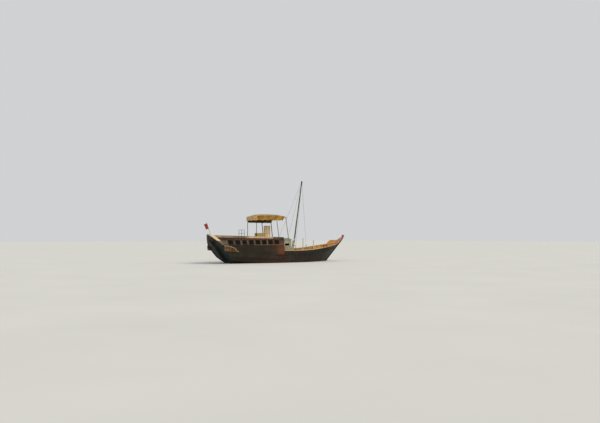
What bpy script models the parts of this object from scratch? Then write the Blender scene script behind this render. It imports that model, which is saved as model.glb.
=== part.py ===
"""A wooden sailing dhow with a transom stern, one bare mast and an awning over her poop.

Metres, +X to the bow, +Y to port, +Z up. The origin lies on the centreline amidships, at the waterline.
A place on the hull is given by its height z and by u, its share of the way from the transom to the stem
at that height, so every plank, rail and deck edge that touches the hull is cut from one and the same skin.
"""
import bisect
import math

import bmesh
import bpy
from mathutils import Vector

# Fits
SEAT = 0.0003            # gap left between two pieces that rest on each other
CAULK = 0.005            # gap along a deck's or bulkhead's edge
BUTT = 0.006             # gap at the planks' ends against the stem

# Heights above the water
KEEL_FOOT_Z = -1.85
HULL_FOOT_Z = -1.50      # hull planking meets the keel
HULL_TOP_Z = 0.86        # top of the closed lower hull, which the decks and sides stand on
SHEER_LOW_Z = 1.62       # top of the waist planking at its lowest place
SHEER_LOW_X = 1.0
SHEER_BOW_RISE = 0.0118  # rise per squared metre forward of the lowest place
SHEER_AFT_RISE = 0.0055
WALE_DROP = 0.52         # middle of the wale below the sheer amidships
WALE_HEIGHT = 0.14
SILL_Z = 2.44            # middle of the ledge under the cabin windows
POOP_SIDE_TOP_Z = 3.11
FORE_DECK_Z = 1.78       # top of the fore deck
RAIL_FORE_Z = 3.48       # top of the poop rail at its fore end
RAIL_RISE = 0.028        # rise per metre toward the stern
CREST_Z = 3.85           # top of the transom's arch
WASHBOARD_TOP_Z = 3.05   # top of the bow washboard where it runs level
WASHBOARD_FIRST = 0.35   # share of its height that it starts with
WASHBOARD_SWEEP_X = 10.85
WASHBOARD_SWEEP = 0.78   # rise per metre from there to the stem
STEM_HEAD_Z = 3.85

# Thicknesses
PLANK = 0.09
DECK = 0.06
POOP_DECK = 0.08
RAIL_PLANK = 0.07
CAP_HEIGHT = 0.07
CAP_OVERHANG = 0.045
WALE_DEPTH = 0.07
SILL_DEPTH = 0.10
SILL_HEIGHT = 0.09
TRANSOM = 0.08
STERN_POST = 0.14
STEM_DEPTH = 0.30
HALF_SIDING = 0.12       # half the width of keel, stem and stern post
HALF_POST_SIDING = 0.10

# Profile of the ends
TRANSOM_X = -7.58        # transom plane at the waterline
TRANSOM_SLOPE = 0.77     # metres aft for each metre up
STEM_LINE = (            # height, and place along the hull of the planking's fore end
    (-1.85, 5.90), (-1.50, 6.43), (-1.10, 7.02), (-0.60, 7.60), (0.00, 8.18), (0.86, 9.01),
    (1.60, 9.73), (2.00, 10.12), (2.40, 10.51), (2.84, 10.94), (3.40, 11.42), (4.00, 11.66),
)

# Half breadths of the skin: one row for each height, one column for each share u of the length
SHARES = (0.0, 0.03, 0.07, 0.15, 0.30, 0.50, 0.70, 0.85, 0.95, 1.0)
HALF_BREADTHS = (
    (-1.50, (0.12, 0.12, 0.12, 0.12, 0.12, 0.12, 0.12, 0.12, 0.12, 0.12)),
    (-1.10, (0.12, 0.14, 0.20, 0.50, 1.05, 1.30, 0.95, 0.40, 0.18, 0.12)),
    (-0.60, (0.12, 0.20, 0.40, 1.00, 1.80, 2.10, 1.70, 0.90, 0.38, 0.12)),
    (0.00, (0.70, 0.95, 1.25, 1.80, 2.40, 2.62, 2.30, 1.45, 0.60, 0.12)),
    (0.45, (1.55, 1.72, 1.90, 2.18, 2.56, 2.74, 2.48, 1.70, 0.76, 0.12)),
    (0.95, (2.22, 2.28, 2.36, 2.47, 2.67, 2.81, 2.60, 1.90, 0.90, 0.12)),
    (1.70, (2.36, 2.41, 2.46, 2.58, 2.76, 2.85, 2.70, 2.08, 1.04, 0.12)),
    (2.40, (2.22, 2.30, 2.39, 2.54, 2.71, 2.80, 2.72, 2.18, 1.14, 0.12)),
    (3.10, (1.42, 1.66, 1.93, 2.28, 2.60, 2.72, 2.70, 2.24, 1.20, 0.12)),
    (4.00, (0.02, 0.70, 1.28, 2.00, 2.46, 2.60, 2.62, 2.26, 1.22, 0.12)),
)

# Stations, as shares of the length, that every piece on the skin uses
STATIONS = (
    0.0, 0.015, 0.03, 0.05, 0.075, 0.105, 0.14, 0.18, 0.225, 0.27, 0.315, 0.36, 0.4025, 0.445,
    0.49, 0.54, 0.59, 0.64, 0.69, 0.74, 0.785, 0.825, 0.8425, 0.86, 0.89, 0.92, 0.945, 0.9525, 0.97,
    0.985, 1.0,
)
POOP_BREAK = 13          # station at the poop's fore end
BREAK_SHARE = 0.0006     # share of the length left open where the waist planking meets the poop
WASHBOARD_START = 26     # station where the washboard rises from the cap rail
WASHBOARD_FULL = 27      # station where it stands full height
FORE_DECK_START = 23     # station at the fore deck's aft edge

# Quarter gallery: its stations from the transom forward, and its top at each
GALLERY_TOPS = ((0, 2.36), (1, 2.28), (2, 2.19), (3, 2.04), (4, 1.62))
GALLERY_DEPTH = 0.32
GALLERY_FIT = 0.016      # gap behind it, over the joints of the planks
GALLERY_AFT_X = -9.46    # its plumb aft end, behind the raked transom

# Cabin windows
WINDOW_COUNT = 8
WINDOW_FORE_X = -1.75
WINDOW_PITCH = 0.95
WINDOW_WIDTH = 0.56
WINDOW_LOW_Z = 2.58
WINDOW_HIGH_Z = 3.05

# Deckhouse before the poop
HOUSE_AFT_X = -0.60
HOUSE_FORE_X = 1.56
HOUSE_HALF_WIDTH = 1.24
HOUSE_WALL = 0.06
HOUSE_EAVES = 0.08
HOUSE_CROWN = 0.17       # rise of the roof's middle above its edges
HOUSE_CROWN_Y = (0.55, 1.12)        # half widths of the crown's top and foot
HOUSE_WINDOW = (1.50, 0.34, 2.28)   # width, height and foot of the side windows
DOOR_WIDTH = 0.72
DOOR_HEIGHT = 1.72
DOOR_MIDDLE_Y = -0.58
DOOR_SILL = 0.08
DOOR_THICK = 0.04
DOOR_FIT = 0.008         # gap round the door's edges
DOOR_STOP = 0.022        # how far the frame's stop reaches in behind the door's edges
FRONT_WINDOW = (0.30, 0.90, 2.16, 2.60)   # sides, foot and head of the window beside the door
PASSAGE_WIDTH = 1.10
PASSAGE_HEIGHT = 1.85

# Hatch and hold
HATCH_MIDDLE_X = 5.335
HATCH_LENGTH = 1.44
HATCH_WIDTH = 1.30
COAMING_HEIGHT = 0.34
COAMING_THICK = 0.06
COVER_THICK = 0.05
COVER_LIP = 0.03
HOLD_FLOOR_Z = -0.30

# Mast and stays
MAST_FOOT_X = 2.58
MAST_RAKE = 0.1538       # metres forward for each metre up
MAST_TOP_Z = 11.0
MAST_FOOT_RADIUS = 0.11
MAST_HEAD_RADIUS = 0.065
BLOCK_SIZE = (0.14, 0.16, 0.52)
MAST_POST_SIZE = (0.13, 0.18)
MAST_POST_TOP_Z = 3.00
STAY_RADIUS = 0.010
STAY_DROP = 0.12         # stays' height above the block's foot
SHROUD_STATIONS = (15, 17)

# Awning
AWNING_POSTS = (         # name, foot and head along the hull, radius
    ("aft", -4.02, -4.02, 0.040),
    ("mid", -1.47, -1.80, 0.055),
    ("fore", 1.14, 0.68, 0.045),
)
AWNING_HALF_SPAN = 1.22
POLE = 0.07
SIDE_POLE_Z = 6.15
CANVAS_OVERHANG = 0.15   # canvas edge outside the side poles' middle
CANVAS_THICK = 0.015
CANVAS_HEM_Z = 5.78
CANVAS_STATIONS = (      # place along the hull at the eaves, eaves height, crown height
    (-4.13, 6.28, 6.42),
    (-3.45, 6.37, 6.58),
    (-1.60, 6.41, 6.64),
    (-0.20, 6.41, 6.62),
    (0.45, 6.38, 6.53),
)
CANVAS_FORE_RAKE = 0.60  # the fore edge's slope aft, metres for each metre down

# Poop furniture
LOCKER = ((-3.86, -1.12), (-2.62, -0.46))
LOCKER_HEIGHT = 0.80
LOCKER_WALL = 0.03
LOCKER_LID = 0.045
LOCKER_LIP = 0.015       # how far the lid stands out past the locker's sides
SCREEN_X = (-1.94, -0.94)
SCREEN_Y = 0.30
SCREEN_THICK = 0.05
SCREEN_TOP_Z = 5.05

# Rudder
AXIS_OFFSET = 0.07       # rudder axis behind the stern post
BLADE_HALF = 0.05
BLADE_LEAD = 0.03        # leading edge before the axis
GUDGEON_PLACES = (-1.55, 0.62, 2.95)
GUDGEON_HALF = 0.06
EYE_RADIUS = 0.055
EYE_HOLE = 0.028
EYE_SLACK = 0.03         # gap under each eye; the blade bears on the eyes' tops
PIN_FIT = 0.0015         # gap between a pin and the flats of its eye
RUDDER_FOOT_Z = -1.80
RUDDER_HEAD_Z = 3.12
STERN_POST_TOP_Z = 2.92
RUDDER_CHORDS = (        # place up the post, chord behind the axis
    (-1.36, 0.90), (-1.15, 0.89), (-0.90, 0.82), (-0.70, 0.72), (-0.50, 0.58), (-0.25, 0.36), (0.00, 0.20),
    (0.40, 0.15),
)
YOKE_HALF_LENGTH = 0.28
YOKE_SECTION = (0.07, 0.09)

# Deck posts, bitts and ensign staff
DECK_POSTS = (("aft", 4.41, 3.34), ("fore", 6.26, 3.04))
DECK_POST_RADIUS = 0.06
BITT_X = 8.35
BITT_SPREAD = 0.36
BITT_SIZE = 0.13
BITT_HEIGHT = 0.62
STAFF_SHARE = 0.03       # share of the length where the ensign staff stands on the port rail
STAFF_LEAN = 0.35        # metres aft for each metre up
STAFF_TOP_Z = 5.36
STAFF_RADIUS = 0.018
FLAG_SIZE = (0.46, 0.74)
FLAG_THICK = 0.012


# Materials


def material(name, color, roughness, metallic=0.0):
    """Return the named Principled material."""
    made = bpy.data.materials.get(name)
    if made is None:
        made = bpy.data.materials.new(name)
        made.use_nodes = True
        shader = made.node_tree.nodes["Principled BSDF"]
        shader.inputs["Base Color"].default_value = (*color, 1.0)
        shader.inputs["Roughness"].default_value = roughness
        shader.inputs["Metallic"].default_value = metallic
    return made


OILED = ("oiled_planking", (0.045, 0.035, 0.024), 0.55)
TEAK = ("poop_teak", (0.12, 0.065, 0.035), 0.60)
TAR = ("tarred_timber", (0.020, 0.022, 0.022), 0.60)
VARNISH = ("varnished_timber", (0.55, 0.26, 0.07), 0.30)
CREAM = ("cream_paint", (0.72, 0.58, 0.42), 0.50)
WEATHERED = ("weathered_deck", (0.30, 0.22, 0.15), 0.80)
GREY = ("grey_white_paint", (0.50, 0.50, 0.44), 0.60)
SPAR = ("mast_timber", (0.16, 0.12, 0.08), 0.65)
CANVAS = ("awning_canvas", (0.42, 0.22, 0.05), 0.90)
OLIVE = ("olive_paint", (0.36, 0.27, 0.08), 0.55)
ROPE = ("stay_rope", (0.10, 0.08, 0.06), 0.90)
BUNTING = ("red_bunting", (0.45, 0.06, 0.04), 0.90)


# Curves


def smooth(knots, values, x):
    """Monotone cubic through the knots, so that a fair line has no bumps between them."""
    if x <= knots[0]:
        return values[0]
    if x >= knots[-1]:
        return values[-1]
    last = len(knots) - 1
    i = bisect.bisect_right(knots, x) - 1
    slopes = [(values[k + 1] - values[k]) / (knots[k + 1] - knots[k]) for k in range(last)]

    def tangent(k):
        if k == 0:
            return slopes[0]
        if k == last:
            return slopes[-1]
        if slopes[k - 1] * slopes[k] <= 0:
            return 0.0
        return 2 * slopes[k - 1] * slopes[k] / (slopes[k - 1] + slopes[k])

    step = knots[i + 1] - knots[i]
    t = (x - knots[i]) / step
    low = (1 + 2 * t) * (1 - t) ** 2 * values[i] + t * (1 - t) ** 2 * step * tangent(i)
    high = t * t * (3 - 2 * t) * values[i + 1] + t * t * (t - 1) * step * tangent(i + 1)
    return low + high


def aft_x(z):
    """Place of the transom plane at a height."""
    return TRANSOM_X - TRANSOM_SLOPE * z


def fore_x(z):
    """Place of the planking's fore end at a height."""
    return smooth([row[0] for row in STEM_LINE], [row[1] for row in STEM_LINE], z)


def half_breadth(u, z):
    """Half breadth of the skin."""
    heights = [row[0] for row in HALF_BREADTHS]
    widths = [smooth(SHARES, row[1], u) for row in HALF_BREADTHS]
    return smooth(heights, widths, z)


def place(u, z):
    """Point of the port skin in plan."""
    return aft_x(z) + u * (fore_x(z) - aft_x(z)), half_breadth(u, z)


def skin(u, z, offset=0.0):
    """Point of the port skin in plan, moved outward by an offset, and kept between the end planes."""
    step = 0.004
    x0, y0 = place(max(u - step, 0.0), z)
    x1, y1 = place(min(u + step, 1.0), z)
    length = math.hypot(x1 - x0, y1 - y0)
    x, y = place(u, z)
    x += offset * (y0 - y1) / length
    y += offset * (x1 - x0) / length
    return min(max(x, aft_x(z) + SEAT), fore_x(z) - BUTT), y


def share_at(x, z):
    """Share u of the length at a place along the hull."""
    return (x - aft_x(z)) / (fore_x(z) - aft_x(z))


def sheer_z(u):
    """Top of the waist planking."""
    x = place(u, SHEER_LOW_Z)[0]
    rise = SHEER_BOW_RISE if x > SHEER_LOW_X else SHEER_AFT_RISE
    z = SHEER_LOW_Z + rise * (x - SHEER_LOW_X) ** 2
    x = place(u, z)[0]
    return SHEER_LOW_Z + rise * (x - SHEER_LOW_X) ** 2


def wale_z(u):
    """Middle of the wale."""
    return SHEER_LOW_Z - WALE_DROP + 0.85 * (sheer_z(u) - SHEER_LOW_Z)


def rail_z(u):
    """Top of the poop rail."""
    return RAIL_FORE_Z + RAIL_RISE * (HOUSE_AFT_X - place(u, RAIL_FORE_Z)[0])


# Mesh building


def finish(name, bm, finish_of, smooth_shading=False):
    """Turn a bmesh into a named object with its material and outward faces."""
    bmesh.ops.recalc_face_normals(bm, faces=bm.faces)
    mesh = bpy.data.meshes.new(name)
    bm.to_mesh(mesh)
    bm.free()
    made = bpy.data.objects.new(name, mesh)
    bpy.context.scene.collection.objects.link(made)
    mesh.materials.append(material(*finish_of))
    if smooth_shading:
        mesh.shade_smooth()
        mesh.set_sharp_from_angle(angle=math.radians(40))
    return made


def loft(name, loops, finish_of, smooth_shading=False):
    """Closed solid through loops of equal length, with a face on each end."""
    bm = bmesh.new()
    rings = [[bm.verts.new(point) for point in loop] for loop in loops]
    count = len(rings[0])
    for a, b in zip(rings, rings[1:]):
        for k in range(count):
            bm.faces.new((a[k], a[(k + 1) % count], b[(k + 1) % count], b[k]))
    bm.faces.new(rings[0])
    bm.faces.new(rings[-1])
    return finish(name, bm, finish_of, smooth_shading)


def box(name, low, high, finish_of):
    """Plain box between two corners."""
    x0, y0, z0 = low
    x1, y1, z1 = high
    foot = [(x0, y0, z0), (x1, y0, z0), (x1, y1, z0), (x0, y1, z0)]
    return loft(name, [foot, [(x, y, z1) for x, y, z in foot]], finish_of)


def post(name, foot, head, foot_radius, head_radius, finish_of, sides=12):
    """Round spar between two level ends."""
    loops = []
    for centre, radius in ((foot, foot_radius), (head, head_radius)):
        turns = [math.tau * k / sides for k in range(sides)]
        loops.append([
            (centre[0] + radius * math.cos(a), centre[1] + radius * math.sin(a), centre[2]) for a in turns
        ])
    return loft(name, loops, finish_of, smooth_shading=True)


def rod(name, start, end, radius, finish_of, sides=12):
    """Round bar, square to its own axis at both ends."""
    start, end = Vector(start), Vector(end)
    along = (end - start).normalized()
    side = along.orthogonal().normalized()
    other = along.cross(side)
    loops = []
    for centre in (start, end):
        turns = [math.tau * k / sides for k in range(sides)]
        loops.append([centre + radius * (math.cos(a) * side + math.sin(a) * other) for a in turns])
    return loft(name, loops, finish_of, smooth_shading=True)


def profile(name, outline, half_width, finish_of, middle_y=0.0):
    """Outline in the X-Z plane, given a width across the ship."""
    loops = [[(x, middle_y + y, z) for x, z in outline] for y in (-half_width, half_width)]
    return loft(name, loops, finish_of)


def combine(target, tool, operation):
    """Apply a Boolean to the target now and remove the tool."""
    change = target.modifiers.new(operation.lower(), "BOOLEAN")
    change.operation = operation
    change.object = tool
    graph = bpy.context.evaluated_depsgraph_get()
    mesh = bpy.data.meshes.new_from_object(target.evaluated_get(graph))
    old = target.data
    target.modifiers.remove(change)
    target.data = mesh
    mesh.name = old.name
    bpy.data.meshes.remove(old)
    bpy.data.objects.remove(tool)


def cut(target, low, high):
    """Cut a box out of the target."""
    combine(target, box("cutter", low, high, GREY), "DIFFERENCE")


def along_skin(name, side, stations, section, finish_of):
    """Closed solid that follows the hull's skin; section gives (offset, z) points for a station."""
    bm = bmesh.new()
    rings = []
    sections = []
    for station in stations:
        u = STATIONS[station]
        if station == POOP_BREAK and station == stations[0]:
            u += BREAK_SHARE
        points = section(u)
        ring = []
        for offset, z in points:
            x, y = skin(u, z, offset)
            ring.append(bm.verts.new((x, side * y, z)))
        rings.append(ring)
        sections.append(points)
    count = len(rings[0])
    for i in range(len(rings) - 1):
        for k in range(count):
            n = (k + 1) % count
            a, b, c, d = rings[i][k], rings[i + 1][k], rings[i + 1][n], rings[i][n]
            first, second = sections[i][k], sections[i][n]
            rising = (second[1], -second[0]) > (first[1], -first[0])
            if rising:
                bm.faces.new((a, b, c))
                bm.faces.new((a, c, d))
            else:
                bm.faces.new((a, b, d))
                bm.faces.new((b, c, d))
    bm.faces.new(rings[0])
    bm.faces.new(rings[-1])
    return finish(name, bm, finish_of)


def wall_section(heights, thickness):
    """Section of a plank wall with a row of points at each height."""
    outer = [(0.0, z) for z in heights]
    return outer + [(-thickness, z) for z in reversed(heights)]


def across_hull(name, stations, heights, inset, finish_of, end_trim=0.0):
    """Closed solid across the whole hull, from the lowest to the highest of its heights."""
    loops = []
    for station in stations:
        u = STATIONS[station]
        side = []
        for z in heights:
            x, y = skin(u, z, -inset)
            x = min(max(x, aft_x(z) + SEAT + end_trim), fore_x(z) - SEAT - end_trim)
            side.append((x, y, z))
        loops.append(side + [(x, -y, z) for x, y, z in reversed(side)])
    bm = bmesh.new()
    rings = [[bm.verts.new(point) for point in loop] for loop in loops]
    count = len(rings[0])
    for a, b in zip(rings, rings[1:]):
        for k in range(count):
            n = (k + 1) % count
            if k < len(heights):
                bm.faces.new((a[k], b[k], b[n]))
                bm.faces.new((a[k], b[n], a[n]))
            else:
                bm.faces.new((a[k], b[k], a[n]))
                bm.faces.new((b[k], b[n], a[n]))
    for ring in (rings[0], rings[-1]):
        for k in range(len(heights) - 1):
            bm.faces.new((ring[k], ring[k + 1], ring[count - 2 - k], ring[count - 1 - k]))
    return finish(name, bm, finish_of)


# The stern plane


def stern_point(w, d, y=0.0):
    """Point w up the raked transom plane from the waterline and d behind it."""
    rake = math.atan(TRANSOM_SLOPE)
    return (
        TRANSOM_X - w * math.sin(rake) - d * math.cos(rake),
        y,
        w * math.cos(rake) - d * math.sin(rake),
    )


def stern_w(z, d=0.0):
    """Distance up the raked plane of a height, for a point d behind the plane."""
    rake = math.atan(TRANSOM_SLOPE)
    return (z + d * math.sin(rake)) / math.cos(rake)


POST_FACE = TRANSOM + 2 * SEAT
POST_BACK = POST_FACE + STERN_POST
AXIS_D = POST_BACK + AXIS_OFFSET

# Lower hull


HULL_ROWS = (HULL_FOOT_Z, -1.32, -1.10, -0.85, -0.60, -0.30, 0.0, 0.22, 0.45, 0.66, HULL_TOP_Z)
ALL_STATIONS = range(len(STATIONS))
POOP = range(0, POOP_BREAK + 1)
WAIST = range(POOP_BREAK, len(STATIONS))


def make_hull_body():
    """Solid lower hull up to the deck beams, with the hold cut below the hatch."""
    hull = across_hull("hull_body", ALL_STATIONS, HULL_ROWS, 0.0, OILED)
    half_length = HATCH_LENGTH / 2 - COAMING_THICK
    half_width = HATCH_WIDTH / 2 - COAMING_THICK
    cut(
        hull,
        (HATCH_MIDDLE_X - half_length, -half_width, HOLD_FLOOR_Z),
        (HATCH_MIDDLE_X + half_length, half_width, HULL_TOP_Z + DECK),
    )


def make_keel_and_posts():
    """Keel, stem, transom with its arch, stern post with the rudder's gudgeons, and the arch moulding."""
    top = HULL_FOOT_Z - SEAT
    profile(
        "keel",
        [
            (aft_x(KEEL_FOOT_Z) + SEAT, KEEL_FOOT_Z),
            (fore_x(KEEL_FOOT_Z) - SEAT, KEEL_FOOT_Z),
            (fore_x(top) - SEAT, top),
            (aft_x(top) + SEAT, top),
        ],
        HALF_SIDING,
        OILED,
    )
    count = 40
    heights = [KEEL_FOOT_Z + (STEM_HEAD_Z - KEEL_FOOT_Z) * k / count for k in range(count + 1)]
    heights = sorted(heights + [top])
    rear = [(fore_x(z), z) for z in heights]
    front = [(fore_x(z) + STEM_DEPTH, z) for z in heights[::4]]
    profile("stem_post", rear + list(reversed(front)), HALF_SIDING, TAR)

    rows = [KEEL_FOOT_Z] + list(HULL_ROWS) + [1.30, 1.70, 2.10, 2.40, 2.75, 2.95, POOP_SIDE_TOP_Z]
    rows += [3.30, 3.50, 3.70, CREST_Z]
    edge = []
    for z in rows:
        width = half_breadth(0.0, z) if z > HULL_FOOT_Z else HALF_SIDING
        edge.append((stern_w(z), width))
    loops = []
    for d in (SEAT, TRANSOM):
        right = [stern_point(w, d, y) for w, y in edge]
        left = [stern_point(w, d, -y) for w, y in reversed(edge)]
        loops.append(right + left)
    loft("transom", loops, TAR)

    make_stern_post()
    make_arch_moulding()


def make_stern_post():
    """Raked post on the transom's middle with an eye at each gudgeon."""
    outline = []
    ends = (KEEL_FOOT_Z, STERN_POST_TOP_Z)
    for d, z in ((POST_FACE, ends[0]), (POST_BACK, ends[0]), (POST_BACK, ends[1]), (POST_FACE, ends[1])):
        x, _, height = stern_point(stern_w(z, d), d)
        outline.append((x, height))
    made = profile("stern_post", outline, HALF_POST_SIDING, TAR)
    for w in GUDGEON_PLACES:
        loops = []
        for up in (w - GUDGEON_HALF, w + GUDGEON_HALF):
            neck = EYE_RADIUS
            loop = [stern_point(up, POST_BACK - 0.03, -neck), stern_point(up, AXIS_D, -neck)]
            for k in range(1, 6):
                turn = -math.pi / 2 + math.pi * k / 6
                loop.append(stern_point(
                    up, AXIS_D + EYE_RADIUS * math.cos(turn), EYE_RADIUS * math.sin(turn)))
            loop += [stern_point(up, AXIS_D, neck), stern_point(up, POST_BACK - 0.03, neck)]
            loops.append(loop)
        combine(made, loft("eye", loops, TAR), "UNION")
        reach = GUDGEON_HALF + 0.05
        hole = rod("hole", stern_point(w - reach, AXIS_D), stern_point(w + reach, AXIS_D), EYE_HOLE, TAR)
        combine(made, hole, "DIFFERENCE")


def make_arch_moulding():
    """Pale edge board round the transom, from its lower corners over the crest."""
    width = 0.13
    depth = 0.05
    rows = (0.95, 1.30, 1.70, 2.10, 2.40, 2.75, 2.95, 3.11, 3.30, 3.50, 3.70)
    side = [(stern_w(z), half_breadth(0.0, z)) for z in rows]
    crest = stern_w(CREST_Z) - 0.004
    path = side + [(crest, 0.0)] + [(w, -y) for w, y in reversed(side)]
    loops = []
    for i, (w, y) in enumerate(path):
        before = path[max(i - 1, 0)]
        after = path[min(i + 1, len(path) - 1)]
        tw, ty = after[0] - before[0], after[1] - before[1]
        length = math.hypot(tw, ty)
        inner = (w + width * ty / length, y - width * tw / length)
        loops.append([
            stern_point(w, TRANSOM + SEAT, y),
            stern_point(inner[0], TRANSOM + SEAT, inner[1]),
            stern_point(inner[0], TRANSOM + depth, inner[1]),
            stern_point(w, TRANSOM + depth, y),
        ])
    loft("stern_moulding", loops, CREAM)


# Sides above the deck beams


def poop_rows(u):
    """Heights of the rows of points on the poop side."""
    middle = wale_z(u)
    half = WALE_HEIGHT / 2
    deck = HULL_TOP_Z + DECK
    return (
        HULL_TOP_Z + SEAT, deck, (deck + middle - half) / 2, middle - half, middle + half, 1.80, 2.20,
        SILL_Z - SILL_HEIGHT / 2, SILL_Z + SILL_HEIGHT / 2, 2.75, 2.95, POOP_SIDE_TOP_Z - SEAT,
    )


def make_sides(side, tag):
    """Planked sides, rails and ledges of one side of the ship."""
    half_wale = WALE_HEIGHT / 2

    def waist_rows(u):
        middle = wale_z(u)
        top = sheer_z(u)
        deck = HULL_TOP_Z + DECK
        return (
            HULL_TOP_Z + SEAT, deck, middle - half_wale, middle + half_wale,
            (middle + half_wale + top) / 2, top,
        )

    wall = along_skin(
        f"poop_side_{tag}", side, POOP, lambda u: wall_section(poop_rows(u), PLANK), TEAK)
    for k in range(WINDOW_COUNT):
        x = WINDOW_FORE_X - k * WINDOW_PITCH
        reach = half_breadth(share_at(x, SILL_Z), SILL_Z)
        ys = sorted((side * (reach - 0.60), side * (reach + 0.20)))
        cut(
            wall,
            (x - WINDOW_WIDTH / 2, ys[0], WINDOW_LOW_Z),
            (x + WINDOW_WIDTH / 2, ys[1], WINDOW_HIGH_Z),
        )
    along_skin(
        f"bulwark_{tag}", side, WAIST, lambda u: wall_section(waist_rows(u), PLANK), OILED)

    def wale(u):
        low, high = wale_z(u) - half_wale, wale_z(u) + half_wale
        return [(SEAT, low), (WALE_DEPTH, low + 0.02), (WALE_DEPTH, high), (SEAT, high)]

    along_skin(f"wale_{tag}", side, ALL_STATIONS, wale, TAR)

    def sill(u):
        low, high = SILL_Z - SILL_HEIGHT / 2, SILL_Z + SILL_HEIGHT / 2
        return [(SEAT, low), (SILL_DEPTH, low + 0.03), (SILL_DEPTH, high), (SEAT, high)]

    along_skin(f"window_sill_{tag}", side, POOP, sill, TEAK)

    make_gallery(side, tag)

    def cap(u):
        low = sheer_z(u) + SEAT
        high = low + CAP_HEIGHT
        return [
            (-PLANK - CAP_OVERHANG, low), (-PLANK, low), (0.0, low), (CAP_OVERHANG, low),
            (CAP_OVERHANG, high), (0.0, high), (-PLANK, high), (-PLANK - CAP_OVERHANG, high),
        ]

    along_skin(f"cap_rail_{tag}", side, WAIST, cap, CREAM)

    def washboard(u):
        low = sheer_z(u) + CAP_HEIGHT + 2 * SEAT
        high = WASHBOARD_TOP_Z
        for _ in range(4):
            x = place(u, high)[0]
            high = WASHBOARD_TOP_Z + WASHBOARD_SWEEP * max(0.0, x - WASHBOARD_SWEEP_X)
        start = STATIONS[WASHBOARD_START]
        grown = min(1.0, (u - start) / (STATIONS[WASHBOARD_FULL] - start))
        high = low + (high - low) * (WASHBOARD_FIRST + (1 - WASHBOARD_FIRST) * grown)
        return [
            (0.0, low), (0.0, (low + high) / 2), (0.0, high), (-PLANK, high),
            (-PLANK, (low + high) / 2), (-PLANK, low),
        ]

    along_skin(
        f"bow_washboard_{tag}", side, range(WASHBOARD_START, len(STATIONS)), washboard, VARNISH)

    def poop_rail(u):
        low = POOP_SIDE_TOP_Z + POOP_DECK + SEAT
        high = rail_z(u)
        over = 0.04 if u > 0 else 0.0
        edge = high - 0.05
        return [
            (0.0, low), (0.0, edge), (over, edge + 0.001), (over, high), (-RAIL_PLANK - 0.04, high),
            (-RAIL_PLANK - 0.04, edge), (-RAIL_PLANK, edge), (-RAIL_PLANK, low),
        ]

    along_skin(f"poop_rail_{tag}", side, POOP, poop_rail, CREAM)


def on_planks(u, z, offset):
    """Point of the port poop side's flat strips, which run straight between its rows."""
    rows = poop_rows(u)
    upper = next(row for row in rows[1:] if row >= z)
    lower = max(row for row in rows if row < upper)
    (x0, y0), (x1, y1) = skin(u, lower, offset), skin(u, upper, offset)
    share = (z - lower) / (upper - lower)
    return x0 + share * (x1 - x0), y0 + share * (y1 - y0)


def make_gallery(side, tag):
    """Quarter gallery over the wale, its aft end plumb behind the transom's raked edge."""
    bm = bmesh.new()
    rings = []
    for station, high in GALLERY_TOPS:
        u = STATIONS[station]
        low = wale_z(u) + WALE_HEIGHT / 2 + 2 * SEAT
        depth = GALLERY_DEPTH * (0.2 + 0.8 * min(1.0, (high - low) / 0.4))
        section = [(GALLERY_FIT, low + (high - low) * share) for share in (0.0, 0.33, 0.67, 1.0)]
        section += [(depth, high), (depth, high - 0.25 * (high - low)), (0.45 * depth, low)]
        ring = []
        for offset, z in section:
            x, y = on_planks(u, z, offset)
            ring.append((x, side * y, z))
        rings.append(ring)
    out = side * GALLERY_FIT
    rings.insert(0, [(min(x, GALLERY_AFT_X), y + out, z) for x, y, z in rings[0]])
    rings = [[bm.verts.new(point) for point in ring] for ring in rings]
    count = len(rings[0])
    for a, b in zip(rings, rings[1:]):
        for k in range(count):
            n = (k + 1) % count
            bm.faces.new((a[k], b[k], b[n]))
            bm.faces.new((a[k], b[n], a[n]))
    bm.faces.new(rings[0])
    bm.faces.new(rings[-1])
    finish(f"quarter_gallery_{tag}", bm, VARNISH)


# Decks and bulkheads


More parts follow.
